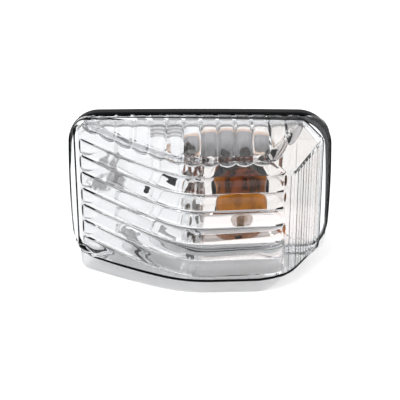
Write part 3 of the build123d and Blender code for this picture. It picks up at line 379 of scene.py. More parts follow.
def make_piece(name, sharp_angle, points, faces, haze_and_painted_shade=None):
    """A closed mesh object at the origin, its doubles merged, its faces outwards and its gentle edges smooth.

    The painted grey shade on the bead, from 0 to 1 for each point, is kept as an attribute of the mesh.
    """
    mesh = bpy.data.meshes.new(name)
    mesh.from_pydata(points.reshape(-1, 3).tolist(), [], faces.tolist())
    if haze_and_painted_shade is not None:
        mesh.attributes.new(BEAD_SHADE_ATTRIBUTE, "FLOAT", "POINT").data.foreach_set("value", haze_and_painted_shade)
    edit = bmesh.new()
    edit.from_mesh(mesh)
    bmesh.ops.remove_doubles(edit, verts=edit.verts, dist=MERGE)
    bmesh.ops.dissolve_degenerate(edit, edges=edit.edges, dist=MERGE)
    bmesh.ops.recalc_face_normals(edit, faces=edit.faces)
    edit.to_mesh(mesh)
    edit.free()
    mesh.shade_smooth()
    mesh.set_sharp_from_angle(angle=sharp_angle)
    piece = bpy.data.objects.new(name, mesh)
    bpy.context.scene.collection.objects.link(piece)
    return piece


class LensForm:
    """The lens's surfaces as functions of x: its plan, its outline and its sloping roof."""

    def __init__(self, sizes):
        """Works out the lens's corners from its sizes. Y runs back from the front, and Z up."""
        self.sizes = sizes
        self.body_inset = sizes.margin + sizes.collar_step
        self.collar_front = LENS_SEAT - sizes.collar_depth
        self.half_width = RIM_HALF_WIDTH - self.body_inset
        self.bottom = self.body_inset - RIM_HALF_HEIGHT
        self.roof_top = RIM_HALF_HEIGHT - self.body_inset - sizes.top_bow
        self.side_corner = np.array([sizes.side_x, -sizes.side_depth])
        self.right_foot = np.array([self.half_width - sizes.right_foot, LENS_SEAT])
        left_foot = np.array([sizes.left_foot - self.half_width, LENS_SEAT])
        left_corner = np.array([sizes.left_corner_inset - self.half_width, -sizes.left_corner_depth])
        soft_corner = np.array([sizes.soft_x, -sizes.soft_depth])
        chord = soft_corner - left_corner
        outward = unit(np.array([chord[1], -chord[0]]))
        middle = (left_corner + soft_corner) / 2 + outward * sizes.left_bulge
        corners = [left_foot, left_corner, middle, soft_corner, self.side_corner, self.right_foot]
        radii = [sizes.left_corner_radius, GENTLE, sizes.soft_radius, sizes.side_radius]
        self.plan_path = rounded_path(corners, radii)
        self.side_run = unit(self.right_foot - self.side_corner)
        side_normal = np.array([self.side_run[1], -self.side_run[0], 0])
        self.roof_stretch = hypot(1, sizes.roof_slope)
        roof_normal = np.array([0, -sizes.roof_slope, 1]) / self.roof_stretch
        self.facet_normal = unit(side_normal * sizes.facet_lean + roof_normal)

    def plan(self, x, inset):
        """Depth of the front wall at x, pulled in by inset."""
        path = shifted_path(self.plan_path, inset)
        return np.interp(x, path[:, 0], path[:, 1], left=LENS_SEAT, right=LENS_SEAT)

    def steepness(self, x, inset):
        """How much longer a step along Y is than the same step square to the front wall."""
        return np.hypot(1, np.gradient(self.plan(x, inset), x))

    def outline(self, x, inset, side):
        """Height of the rim's upper (side 1) or lower (side -1) outline at x, pulled in by inset.

        The sides and the top are bowed, with arcs between them. Past each end, where the outline is upright,
        x goes on for a strip over which the height falls to nothing.
        """
        sizes = self.sizes
        wide, high = RIM_HALF_WIDTH - inset, RIM_HALF_HEIGHT - inset
        right, top = wide - sizes.side_bow, high - sizes.top_bow
        radii = (sizes.top_left, sizes.top_right) if side > 0 else (sizes.bottom_left, sizes.bottom_right)
        corners = [
            (-wide, 0), (-wide, top / 2), (-right, top), (-right / 2, high),
            (right / 2, high), (right, top), (wide, top / 2), (wide, 0),
        ]
        path = rounded_path(corners, [GENTLE, radii[0] - inset, GENTLE, GENTLE, radii[1] - inset, GENTLE])
        path[[0, -1], 0] += [-END_STRIP, END_STRIP]
        return side * np.interp(x, path[:, 0], path[:, 1], left=0, right=0)

    def underside(self, x, inset):
        """Height of the underside at x: the lower outline, or the plane that rises to the right."""
        sizes = self.sizes
        rise = self.bottom + sizes.rise_slope * (x - sizes.rise_start) + inset * hypot(1, sizes.rise_slope)
        return np.maximum(self.outline(x, self.body_inset + inset, -1), rise)

    def topside(self, x, y, inset):
        """Height of the upper surface at x, y: the lowest of roof, slanting facet and upper outline."""
        sizes = self.sizes
        roof = self.roof_top - sizes.roof_slope * (LENS_SEAT - y) - inset * self.roof_stretch
        normal = self.facet_normal
        lean = normal[0] * (x - self.right_foot[0]) + normal[1] * (y - self.right_foot[1]) + inset
        facet = self.roof_top - sizes.band - lean / normal[2]
        rim = self.outline(x, self.body_inset + inset, 1)
        return soft_min(soft_min(roof, facet, sizes.edge_radius), rim, sizes.edge_radius / 2)

    def roof_edge(self, x, front, inset):
        """Place along Y of the roof's front edge at x: the front wall, or the line where roof and facet meet.

        On that line, roof_top - slope * (seat - y) - inset * stretch equals the height of the facet.
        """
        sizes, normal = self.sizes, self.facet_normal / self.facet_normal[2]
        lean = normal[0] * (x - self.right_foot[0]) - normal[1] * self.right_foot[1]
        lean = lean + inset / self.facet_normal[2]
        level = sizes.roof_slope * LENS_SEAT + inset * self.roof_stretch - sizes.band
        return np.maximum(front, (level - lean) / (sizes.roof_slope + normal[1]))

    def drop(self, y, z):
        """How far a point lies below the roof's plane, along Z."""
        return self.roof_top - self.sizes.roof_slope * (LENS_SEAT - y) - z

    def lip(self, x, underside):
        """Lower edge of the clear lip at x: level, with an arc at each end."""
        sizes = self.sizes
        level = self.bottom - sizes.lip_height
        from_left = np.clip(sizes.lip_left + sizes.lip_left_radius - x, 0, sizes.lip_left_radius)
        from_right = np.clip(x - sizes.side_x + sizes.lip_right_radius, 0, sizes.lip_right_radius)
        left_arc = sizes.lip_left_radius - np.sqrt(sizes.lip_left_radius**2 - from_left**2)
        right_arc = sizes.lip_right_radius - np.sqrt(sizes.lip_right_radius**2 - from_right**2)
        edge = np.minimum(level + left_arc + right_arc, underside)
        return np.where((x < sizes.lip_left) | (x > sizes.side_x), underside, edge)


def lens_columns(half_width, wall_end, wall_start):
    """Places of the lens's sections along X, crowded at both ends and over the right wall.

    The first and last few lie past the ends, on the strips that stand for the outline's upright runs.
    """
    strip = END_STRIP * np.linspace(0, 1, STRIP_COLUMNS)[1:]
    left = -half_width + END_WIDTH * np.linspace(0, 1, LEFT_COLUMNS) ** 2
    front = np.linspace(left[-1], wall_start, FRONT_COLUMNS)[1:]
    wall = np.linspace(wall_start, wall_end, WALL_COLUMNS)[1:]
    right = half_width - (half_width - wall_end) * np.linspace(1, 0, RIGHT_COLUMNS)[1:] ** 2
    return np.concatenate([-half_width - strip[::-1], left, front, wall, right, half_width + strip])


def lens_outside(form, x):
    """The lens's outer surface: one section for each x, from the seat's lower edge to its upper edge.

    A section runs over the flange, along the underside to the front, round the lip, up the front wall, over
    an arc and back along the roof to the flange.
    """
    sizes = form.sizes
    front = np.minimum(form.plan(x, 0), form.collar_front)
    under, lip_back = form.underside(x, 0), front + sizes.lip_thickness * form.steepness(x, 0)
    lip_back = np.minimum(lip_back, form.collar_front)
    under = np.maximum(under, form.outline(x, sizes.margin, -1))
    low_under = under - sizes.floor_draft * (form.collar_front - lip_back)
    lip = form.lip(x, low_under)
    collar_top, collar_low = form.outline(x, sizes.margin, 1), form.outline(x, sizes.margin, -1)
    edge = np.maximum(form.topside(x, front, 0), under)
    ahead = np.minimum(front + 2 * sizes.edge_radius, form.collar_front)
    roof_back = np.maximum(form.topside(x, form.collar_front, 0), under)
    corners = [points_of(y, z) for y, z in (
        (LENS_SEAT, collar_low), (form.collar_front, collar_low), (form.collar_front, under),
        (lip_back, low_under), (lip_back, lip), (front, lip), (front, edge), (form.collar_front, roof_back),
        (form.collar_front, collar_top), (LENS_SEAT, collar_top), (ahead, form.topside(x, ahead, 0)),
    )]
    seat_low, flange_low, step_low, lip_foot, lip_inner, lip_outer = corners[:6]
    brow, step_top, flange_top, seat_top, past_edge = corners[6:]
    low_arc = corner_arc(seat_low, flange_low, step_low, FLANGE_ARC, steps=4)
    lip_arc = corner_arc(lip_inner, lip_outer, brow, LIP_ARC, steps=5)
    brow_arc = corner_arc(lip_outer, brow, past_edge, sizes.edge_radius, steps=8)
    top_arc = corner_arc(step_top, flange_top, seat_top, FLANGE_ARC, steps=4)
    back = np.linspace(0, 1, BACK_ROWS)[1:]
    roof_y = brow_arc[:, -1:, 0] + (form.collar_front - brow_arc[:, -1:, 0]) * back
    roof_z = np.maximum(form.topside(x[:, None], roof_y, 0), under[:, None])
    section = np.concatenate([
        seat_low[:, None], low_arc, step_low[:, None], between(step_low, lip_foot, UNDER_ROWS),
        lip_foot[:, None], between(lip_foot, lip_inner, LIP_ROWS), lip_inner[:, None], lip_arc,
        between(lip_arc[:, -1], brow_arc[:, 0], FRONT_ROWS), brow_arc,
        np.stack([roof_y, roof_z], axis=-1), top_arc, seat_top[:, None],
    ], axis=1)
    place = np.clip(x, -form.half_width - sizes.collar_step, form.half_width + sizes.collar_step)
    return points_of(place[:, None], section[..., 0], section[..., 1])


def optic_heights(form, optics, x, y, drop):
    """How far the flutes and ribs stand into the lens from its front and right walls.

    A flute is a pillow across the drop below the roof, with a rounded left end. A rib is a narrow pillow
    across the right wall's length. Both start below the plain band, and they meet at the side corner.
    """
    sizes = form.sizes
    below = (drop - optics.band) / optics.flute_pitch
    across = 2 * (below - np.floor(below)) - 1
    past_end = 1 - (x - optics.flute_left) / optics.flute_end
    round_share = smooth_step(optics.round_start, optics.round_end, x)
    power = optics.flute_square + round_share * (2 - optics.flute_square)
    tall = optics.flute_height + round_share * (optics.round_height - optics.flute_height)
    flutes = tall * bulge(across, power, past_end, power) * (below >= 0)
    along = (x - form.side_corner[0]) / form.side_run[0] / optics.rib_pitch
    rib_across = 2 * (along - np.floor(along)) - 1
    above = 1 - (drop - sizes.band - optics.rib_gap) / optics.rib_pitch
    ribs = optics.rib_height * bulge(rib_across, optics.rib_square, above, optics.rib_square)
    turn = smooth_step(sizes.side_x + RIB_TURN[0], sizes.side_x + RIB_TURN[1], x)
    depth = smooth_step(LENS_SEAT + SEAT_FADE[0], LENS_SEAT + SEAT_FADE[1], y)
    return (flutes * (1 - turn) + ribs * turn * (along > 0)) * depth


def finger_heights(optics, x, y, edge):
    """How far the fingers under the roof stand into the lens, and the bead before them, as two arrays.

    The fingers are pillows across X, with a rounded tip at the front edge. The bead is a quarter-round that
    fills the corner before the tips, and it is thinner between two fingers.
    """
    along = (x - optics.finger_centre) / optics.finger_pitch + (optics.finger_count % 2) / 2
    across = 2 * (along - np.floor(along)) - 1
    inside = np.abs(x - optics.finger_centre) < optics.finger_pitch * optics.finger_count / 2
    past_end = 1 - (y - edge) / optics.finger_tip
    fingers = optics.finger_height * bulge(across, optics.finger_square, past_end, optics.tip_square)
    fingers = fingers * smooth_step(LENS_SEAT, LENS_SEAT - optics.finger_fade, y)
    radius = optics.bead * (1 - optics.scallop * across**2)
    bead = np.sqrt(np.clip(radius**2 - (y - edge) ** 2, 0, None))
    return fingers * inside, bead * inside


def lens_inside(form, optics, x):
    """The lens's inner surface and where grey shade is painted on its bead: one section for each x, from the
    seat's lower edge to its upper.

    The front rows lie at fixed drops below the roof, so each groove between two flutes runs along one row.
    """
    sizes = form.sizes
    front = np.minimum(form.plan(x, sizes.wall), LENS_SEAT)
    stretch = form.steepness(x, sizes.wall)
    from_left = smooth_step(-form.half_width, FLOOR_RUN - form.half_width, x)
    thin = from_left * smooth_step(form.half_width, form.half_width - FLOOR_RUN, x)
    floor = form.underside(x, sizes.wall) - (sizes.wall - sizes.floor_wall) * thin
    roof_edge = form.roof_edge(x, front, sizes.wall)
    lift = (sizes.wall - sizes.roof_wall) * form.roof_stretch * from_left
    lift = lift * smooth_step(sizes.side_x + ROOF_RUN[0], sizes.side_x + ROOF_RUN[1], x)
    edge_height = np.maximum(*finger_heights(optics, x, front, roof_edge))
    edge = np.maximum(form.topside(x, front, sizes.wall) + lift - edge_height, floor)
    thick = sizes.roof_wall * form.roof_stretch
    band_rows = np.linspace(thick, optics.band, BAND_ROWS)
    flutes = int(np.ceil((RIM_HALF_HEIGHT * 2 - optics.band) / optics.flute_pitch))
    flute_rows = optics.flute_pitch * np.arange(1, flutes * optics.flute_rows) / optics.flute_rows
    rows = np.concatenate([band_rows, optics.band + flute_rows])[::-1]
    wall_z = form.roof_top - sizes.roof_slope * (LENS_SEAT - front[:, None]) - rows
    low_floor = floor - sizes.floor_draft * (LENS_SEAT - front)
    wall_z = np.clip(wall_z, low_floor[:, None], edge[:, None])
    height = optic_heights(form, optics, x[:, None], front[:, None], form.drop(front[:, None], wall_z))
    wall_y = np.minimum(front[:, None] + height * stretch[:, None], LENS_SEAT)
    foot = np.linspace(0, 1, FLOOR_ROWS)[:-1]
    floor_y = LENS_SEAT + (wall_y[:, :1] - LENS_SEAT) * foot
    floor_z = floor[:, None] + (low_floor - floor)[:, None] * foot
    back = np.linspace(0, 1, ROOF_ROWS)[1:]
    roof_y = wall_y[:, -1:] + (LENS_SEAT - wall_y[:, -1:]) * back
    fingers, bead = finger_heights(optics, x[:, None], roof_y, roof_edge[:, None])
    roof_z = form.topside(x[:, None], roof_y, sizes.wall) + lift[:, None] - np.maximum(fingers, bead)
    roof_z = np.maximum(roof_z, floor[:, None])
    # 1 on the bead where it stands out past the fingers: there grey shade is painted
    haze_and_painted_shade = np.concatenate([np.zeros(floor_y.shape), np.zeros(wall_y.shape), bead > fingers], axis=1)
    section_y = np.concatenate([floor_y, wall_y, roof_y], axis=1)
    section_z = np.concatenate([floor_z, wall_z, roof_z], axis=1)
    place = np.clip(x, sizes.wall - form.half_width, form.half_width - sizes.wall)
    return points_of(place[:, None], section_y, section_z), haze_and_painted_shade


def lens_mesh(sizes, optics):
    """Points, faces and painted bead shade of the lens: its outer and inner surfaces, joined round the seat.
    """
    form = LensForm(sizes)
    wall_start = sizes.side_x - WALL_LEAD
    wall_end = form.right_foot[0] - WALL_TRIM
    flange_half = form.half_width + sizes.collar_step
    outside = lens_outside(form, lens_columns(flange_half, wall_end, wall_start))
    inside_half = form.half_width - sizes.wall
    inside, haze_and_painted_shade = lens_inside(form, optics, lens_columns(inside_half, wall_end - sizes.wall, wall_start))
    columns, outer_rows = outside.shape[:2]
    inner_rows = inside.shape[1]
    first = columns * outer_rows
    outer_index = np.arange(first).reshape(columns, outer_rows)
    inner_index = first + np.arange(columns * inner_rows).reshape(columns, inner_rows)
    seats = []
    for end in (0, -1):
        rims = np.stack([outer_index[:, end], inner_index[:, end]])
        seats.append(np.stack([rims[0, :-1], rims[0, 1:], rims[1, 1:], rims[1, :-1]], axis=-1))
        seats.append([[outer_index[end, 0], outer_index[end, -1], inner_index[end, -1], inner_index[end, 0]]])
    faces = np.concatenate([grid_faces(columns, outer_rows), grid_faces(columns, inner_rows, first), *seats])
    points = np.concatenate([outside.reshape(-1, 3), inside.reshape(-1, 3)])
    return points, faces, np.concatenate([np.zeros(first), haze_and_painted_shade.ravel()])


def stud_mesh(sizes, centre_x):
    """Points and faces of one stud: a turned profile about Y whose threaded stretch follows a helix.

    The radius at the angle a and the place y is the profile's radius, less the thread's depth times a
    triangle wave of a/tau + y/pitch.
    """
    seat, tip = STUDS_LOW.y, STUDS_HIGH.y
    head_back = seat + sizes.head_height
    thread = np.linspace(sizes.shoulder_end, tip - sizes.chamfer, THREAD_ROWS)
    y = np.concatenate([[seat, seat, head_back, head_back, sizes.shoulder_end], thread, [tip, tip]])
    radius = np.concatenate([
        [TINY, sizes.head_radius, sizes.head_radius, sizes.shoulder_radius, sizes.shoulder_radius],
        np.full(thread.shape, STUD_RADIUS), [STUD_RADIUS - sizes.chamfer, TINY],
    ])
    run = np.concatenate([np.zeros(5), smooth_step(thread[0], thread[0] + sizes.pitch, thread), [0, 0]])
    angle = np.linspace(0, tau, THREAD_SIDES, endpoint=False)[:, None]
    phase = angle / tau + y / sizes.pitch
    wave = np.abs(2 * (phase - np.floor(phase)) - 1)
    turned = np.maximum(radius - sizes.depth * wave * run, TINY)
    points = points_of(centre_x + turned * np.cos(angle), y, turned * np.sin(angle))
    return points.reshape(-1, 3), grid_faces(len(angle), len(y), closed=True)


def coil_mesh(sizes):
    """Points and faces of the filament: a round wire carried along a helix about X, with straight ends."""
    middle, half = (COIL_LOW + COIL_HIGH) / 2, (COIL_HIGH - COIL_LOW) / 2
    wire = sizes.coil_wire / 2
    radius = half.z - wire
    share = np.linspace(0, 1, COIL_STEPS * sizes.coil_turns)
    swell = smooth_step(0, COIL_RISE, share) * smooth_step(1, 1 - COIL_RISE, share)
    angle = tau * sizes.coil_turns * share
    y, z = middle.y + radius * swell * np.cos(angle), middle.z + radius * swell * np.sin(angle)
    line = points_of(middle.x + half.x * (2 * share - 1), y, z)
    run = unit(np.gradient(line, axis=0))
    side = unit(np.cross(run, np.array([1.0, 0.0, 0.0])))
    rise = np.cross(side, run)
    around = np.linspace(0, tau, COIL_SIDES, endpoint=False)[:, None, None]
    ends = np.where((share == 0) | (share == 1), TINY, wire)[:, None]
    points = line + ends * (np.cos(around) * side + np.sin(around) * rise)
    return points.reshape(-1, 3), grid_faces(COIL_SIDES, len(share), closed=True)


class Signal:
    """A shader socket that takes part in Python sums: each operator adds one Math node to its tree."""

    def __init__(self, tree, socket):
        """Wraps an output socket of a node tree."""
        self.tree = tree
        self.socket = socket

    def math(self, operation, first, second):
        """The output of a new Math node."""
        node = self.tree.nodes.new("ShaderNodeMath")
        node.operation = operation
        for place, value in enumerate((first, second)):
            connect(self.tree, node.inputs[place], value)
        return Signal(self.tree, node.outputs[0])

    def __add__(self, other):
        return self.math("ADD", self, other)

    __radd__ = __add__

    def __sub__(self, other):
        return self.math("SUBTRACT", self, other)

    def __rsub__(self, other):
        return self.math("SUBTRACT", other, self)

    def __mul__(self, other):
        return self.math("MULTIPLY", self, other)

    __rmul__ = __mul__

    def __gt__(self, other):
        return self.math("GREATER_THAN", self, other)

    def at_least(self, other):
        """The larger of the two."""
        return self.math("MAXIMUM", self, other)

    def size(self):
        """The value without its sign."""
        return self.math("ABSOLUTE", self, 0.0)


def connect(tree, target, value):
    """Links a signal to a socket, or sets the socket's own value."""
    if isinstance(value, Signal):
        tree.links.new(value.socket, target)
    elif target.type == "RGBA":
        target.default_value = (*value, 1.0)
    else:
        target.default_value = value


class Shader:
    """A node tree with one shader, whose sockets are set or linked by name."""

    def __init__(self, tree, shader):
        """Wraps a node tree and the shader in it."""
        self.tree = tree
        self.shader = tree.nodes[shader]

    def set(self, **values):
        """Sets or links the shader's sockets. An underscore in a socket's name stands for a space."""
        for name, value in values.items():
            connect(self.tree, self.shader.inputs[name.replace("_", " ")], value)

    def node(self, kind, settings, inputs, output=0):
        """The chosen output of a new node, after its settings and its sockets are set."""
        node = self.tree.nodes.new("ShaderNode" + kind)
        for name, value in settings.items():
            setattr(node, name, value)
        for name, value in inputs.items():
            connect(self.tree, node.inputs[name], value)
        return Signal(self.tree, node.outputs[output])

    def ramp(self, value, low, high):
        """A smooth S from 0 at low to 1 at high. With low above high, it falls as the value grows."""
        inputs = {"Value": value, "From Min": low, "From Max": high}
        return self.node("MapRange", {"interpolation_type": "SMOOTHSTEP"}, inputs)

    def blend(self, share, first, second):
        """A mix of two colours."""
        return self.node("Mix", {"data_type": "RGBA"}, {0: share, 6: first, 7: second}, 2)

    def distance(self, across, up):
        """Length of the vector with the two given parts."""
        vector = self.node("CombineXYZ", {}, {"X": across, "Y": up})
        return self.node("VectorMath", {"operation": "LENGTH"}, {0: vector}, "Value")

    def ray(self, kind):
        """1 for rays of one kind, Camera, Glossy or Transmission."""
        return self.node("LightPath", {}, {}, f"Is {kind} Ray")

    def mirrored(self):
        """1 for rays just mirrored. Rays through rough glass count as glossy too, so they are left out."""
        return self.ray("Glossy") > self.ray("Transmission")

    def seen(self, mirrored=1.0, through=1.0):
        """1 for the camera's rays, and the given shares for the rays of mirrors and of clear glass."""
        return self.ray("Camera") + self.mirrored() * mirrored + self.ray("Transmission") * through


class Finish(Shader):
    """A material for one slot of the lamp, with a Principled shader."""

    def __init__(self, slot, colour, roughness, **constants):
        """Starts the material, with the shader's plain values."""
        self.slot = slot
        self.material = bpy.data.materials.new(slot + FINISH_END)
        self.material.use_nodes = True
        super().__init__(self.material.node_tree, "Principled BSDF")
        self.set(Base_Color=colour, Roughness=roughness, **constants)

    def place(self, stretch=(1, 1, 1)):
        """Object coordinates, stretched along each axis."""
        place = self.node("TexCoord", {}, {}, "Object")
        return self.node("Mapping", {"vector_type": "POINT"}, {"Vector": place, "Scale": stretch})

    def noise(self, size, detail=2.0, stretch=(1, 1, 1)):
        """Noise from 0 to 1 whose spots are about size across, in metres."""
        return self.node("TexNoise", {}, {"Vector": self.place(stretch), "Scale": 1 / size, "Detail": detail})

    def axis(self, name):
        """One object coordinate, X, Y or Z, in metres."""
        return self.node("SeparateXYZ", {}, {"Vector": self.place()}, name)

    def along(self, name, start, end):
        """A ramp along one axis, from 0 at start to 1 at end, in millimetres."""
        return self.ramp(self.axis(name), start * MM, end * MM)

    def oval(self, x, z, wide, high, inner, outer):
        """1 inside an oval seen from the front, falling to 0 from inner to outer times its half sizes."""
        across, up = self.axis("X") - x * MM, self.axis("Z") - z * MM
        return self.ramp(self.distance(across * (1 / (wide * MM)), up * (1 / (high * MM))), outer, inner)

    def bump(self, height, depth, strength=1.0):
        """Feeds the shader's normal with a height from 0 to 1 that stands for depth metres."""
        inputs = {"Strength": strength, "Distance": depth, "Height": height}
        self.set(Normal=self.node("Bump", {}, inputs))


def shade(colour, factor):
    """A colour made lighter or darker by factor."""
    return tuple(min(1.0, part * factor) for part in colour)


def rim_inset(finish, sizes):
    """How far a point lies inside the rim's outline, seen from the front, as a signal in metres.

    Past a corner's centre, it is the corner's radius less the distance to that centre. The sides are bowed.
    """
    x, z = finish.axis("X"), finish.axis("Z")
    right, top = x > 0.0, z > 0.0
    low = sizes.bottom_left + right * (sizes.bottom_right - sizes.bottom_left)
    high = sizes.top_left + right * (sizes.top_right - sizes.top_left)
    radius = low + top * (high - low)
    wide = x.size() + z * z * (sizes.side_bow / RIM_HALF_HEIGHT**2) - RIM_HALF_WIDTH + radius
    tall = z.size() + x * x * (sizes.top_bow / RIM_HALF_WIDTH**2) - RIM_HALF_HEIGHT + radius
    return radius - finish.distance(wide.at_least(0.0), tall.at_least(0.0))


def rim_silver(finish, sizes, middle, rightwards, upwards):
    """1 where the rim is silvered: inside its black edge, which widens to the right and upwards."""
    rightwards, upwards = rightwards / RIM_HALF_WIDTH, upwards / RIM_HALF_HEIGHT
    width = middle + finish.axis("X") * rightwards + finish.axis("Z") * upwards
    return finish.ramp(rim_inset(finish, sizes) - width, 0.0, SILVER_FADE)


def clear_lens_finish(colours, sizes):
    """Clear glossy plastic with a moulding's faint ripple, painted grey shade on the thick bead and a
    silvered, bonded seat.
    """
    finish = Finish("clear_lens", colours.lens, 0.0, IOR=1.49, Transmission_Weight=1.0)
    finish.set(Roughness=0.006 + 0.02 * finish.ramp(finish.noise(6 * MM), 0.5, 0.8))
    seat = finish.ramp(finish.axis("Y"), LENS_SEAT - 2 * SEAT_GAP, LENS_SEAT - SEAT_GAP)
    # Painted shade: the bead's attribute turns the clear plastic grey
    haze_and_painted_shade = finish.node("Attribute", {"attribute_name": BEAD_SHADE_ATTRIBUTE}, {}, "Fac")
    finish.set(Base_Color=finish.blend(haze_and_painted_shade, colours.lens, colours.haze_and_painted_shade))
    finish.set(Metallic=seat * rim_silver(finish, sizes, *SEAT_EDGE))
    finish.bump(finish.noise(5 * MM, 1.0), 0.01 * MM, 0.35)
    return finish


def black_plastic_finish(colours, sizes):
    """Black satin moulding with grain, mottling and dust, a little paler on the tub behind than on the
    near-black front, and silvered under the lens.
    """
    finish = Finish("black_plastic", colours.black, 0.36, IOR=1.1)
    mottle = finish.noise(9 * MM, 3.0)
    specks = finish.ramp(finish.noise(1.1 * MM, 4.0), 0.73, 0.78)
    black = finish.blend(finish.along("Y", *TUB_Y), colours.black, colours.tub)
    body = finish.blend(mottle * 0.5, black, shade(colours.tub, 1.2))
    front = finish.ramp(finish.axis("Y"), RIM_LOW.y + RIM_SKIN[0], RIM_LOW.y + RIM_SKIN[1])
    silver = front * rim_silver(finish, sizes, *RIM_EDGE)
    dusty = finish.blend(specks * 0.55, body, DUST)
    finish.set(Base_Color=finish.blend(silver, dusty, colours.reflector), Metallic=silver)
    finish.set(Roughness=0.28 + 0.16 * mottle + 0.25 * specks - 0.1 * silver)
    finish.bump(finish.noise(0.35 * MM, 2.0), 0.03 * MM, 0.5)
    return finish


def rubber_finish(name, colour, grain):
    """Matt rubber with a soft open grain and a grey bloom in patches."""
    finish = Finish(name, colour, 0.75, IOR=1.2)
    bloom = finish.ramp(finish.noise(7 * MM, 4.0), 0.45, 0.8)
    finish.set(Base_Color=finish.blend(bloom, colour, shade(colour, 2.2)))
    finish.set(Roughness=0.62 + 0.2 * bloom)
    finish.bump(finish.noise(grain, 3.0), 0.06 * MM, 0.7)
    return finish


def skin_finish(name, colour, roughness, spots, rough, relief, **constants):
    """Plain plastic or glass with an uneven skin.

    The spots have a size and a detail, rough a least value and a gain, and the relief a depth and a strength.
    """
    finish = Finish(name, colour, roughness, **constants)
    skin = finish.noise(*spots)
    finish.set(Roughness=rough[0] + rough[1] * skin)
    finish.bump(skin, *relief)
    return finish


def reflector_finish(colours):
    """Metallised plastic: a hazy mirror with a slow ripple, painted amber light round the bulb with brighter
    painted light below it, and crinkled on the slant with painted dark cells.

    Its painted marks are grey patches at the left that stand for dark reflections, the bulb's painted
    reflection over the bulb, and painted shade lines in fine steps along the top.
    """
    finish = Finish("reflector_metal", colours.reflector, 0.06, Metallic=1.0)
    haze_and_painted_shade = finish.ramp(finish.noise(14 * MM, 4.0), 0.5, 0.85)
    bright = finish.blend(haze_and_painted_shade, colours.reflector, shade(colours.reflector, 0.9))
    slant = finish.along("X", *SLANT_LEFT) * finish.along("X", *SLANT_RIGHT) * finish.along("Z", *SLANT_TOP)
    cells = {"Vector": finish.place((1, 1, 0.6)), "Scale": 1 / (2.0 * MM)}
    # Painted dark cells on the slant, standing for its dark reflections
    dark = slant * (finish.node("TexVoronoi", {"feature": "F1"}, cells, "Color") > 0.65)
    # Painted amber light right of the bulb, with brighter painted light below it
    painted_light_below = finish.blend(finish.along("Z", *LIGHT_BELOW_Z), colours.painted_amber_light, colours.painted_light_below)
    face = finish.blend(finish.along("X", *AMBER_LIGHT_X), bright, painted_light_below)
    # Grey patches painted at the left, standing for dark reflections
    dark_reflection = finish.oval(*DARK_REFLECTIONS[0], 0.85, 1.1).at_least(finish.oval(*DARK_REFLECTIONS[1], 0.85, 1.1))
    dark_reflection = dark_reflection * finish.ramp(finish.noise(3.5 * MM, 2.0), 0.34, 0.54)
    face = finish.blend(dark_reflection, face, colours.painted_grey)
    # The bulb's painted reflection: a peach rim round a grey middle, painted darker lower down
    glow = finish.oval(*BULB_REFLECTION, 1.02, 1.1)
    painted_grey = finish.oval(*BULB_REFLECTION, 0.9, 0.98)
    darker_below = finish.blend(finish.along("Z", *DARKER_BELOW_Z), colours.painted_grey, shade(colours.painted_grey, 0.45))
    face = finish.blend(painted_grey, finish.blend(glow, face, colours.peach), darker_below)
    # Painted shade: grey lines painted in fine steps along the top
    pad = finish.along("X", *PAD_LEFT) * finish.along("X", *PAD_RIGHT) * finish.along("Z", *PAD_LOW)
    lines = {"Vector": finish.place(), "Scale": WAVE_BAND / PAD_STEP, "Distortion": 2.0}
    lines.update({"Detail": 0.0, "Detail Scale": 1.0})
    steps = finish.node("TexWave", {"bands_direction": "Z"}, lines, "Fac")
    face = finish.blend(pad * (0.5 + 0.5 * steps), face, colours.painted_grey)
    # The painted dark cells darken the face
    finish.set(Base_Color=finish.blend(dark, face, shade(colours.painted_amber_light, 0.26)))
    finish.set(Roughness=0.05 + 0.1 * haze_and_painted_shade + 0.2 * slant)
    facets = finish.node("TexVoronoi", {"feature": "F1"}, cells)
    finish.bump(finish.noise(4 * MM, 1.0) * 0.04 + facets * slant, 0.7 * MM, 0.8)
    return finish


def metal_finish(name, colour, roughness, grain=(1, 1, 1)):
    """Drawn, plated or pressed metal: streaks along its grain, patches of dull colour and fine scratches."""
    finish = Finish(name, colour, roughness, Metallic=1.0)
    streaks = finish.noise(0.8 * MM, 4.0, grain)
    dull = finish.ramp(finish.noise(5 * MM, 3.0), 0.45, 0.75)
    finish.set(Base_Color=finish.blend(dull * 0.5, colour, shade(colour, 0.6)))
    finish.set(Roughness=roughness * 0.8 + 0.18 * streaks + 0.12 * dull)
    finish.bump(streaks, 0.02 * MM, 0.5)
    return finish


def holder_finish(colours):
    """Dark grey glass-filled moulding with a dry grain and paler fibres."""
    finish = Finish("holder_plastic", colours.holder, 0.5, IOR=1.52)
    fibres = finish.ramp(finish.noise(0.7 * MM, 3.0, (1, 5, 1)), 0.55, 0.75)
    finish.set(Base_Color=finish.blend(fibres, colours.holder, shade(colours.holder, 1.9)))
    finish.set(Roughness=0.42 + 0.2 * fibres)
    finish.bump(finish.noise(0.4 * MM, 3.0), 0.04 * MM, 0.6)
    return finish


def felt_finish():
    """White porous disc with matted fibres."""
    finish = Finish("filter_felt", (0.8, 0.8, 0.78), 0.95)
    fibres = finish.noise(0.3 * MM, 5.0)
    finish.set(Base_Color=finish.blend(fibres, (0.6, 0.6, 0.58), (0.86, 0.86, 0.84)))
    finish.bump(fibres, 0.2 * MM, 0.9)
    return finish


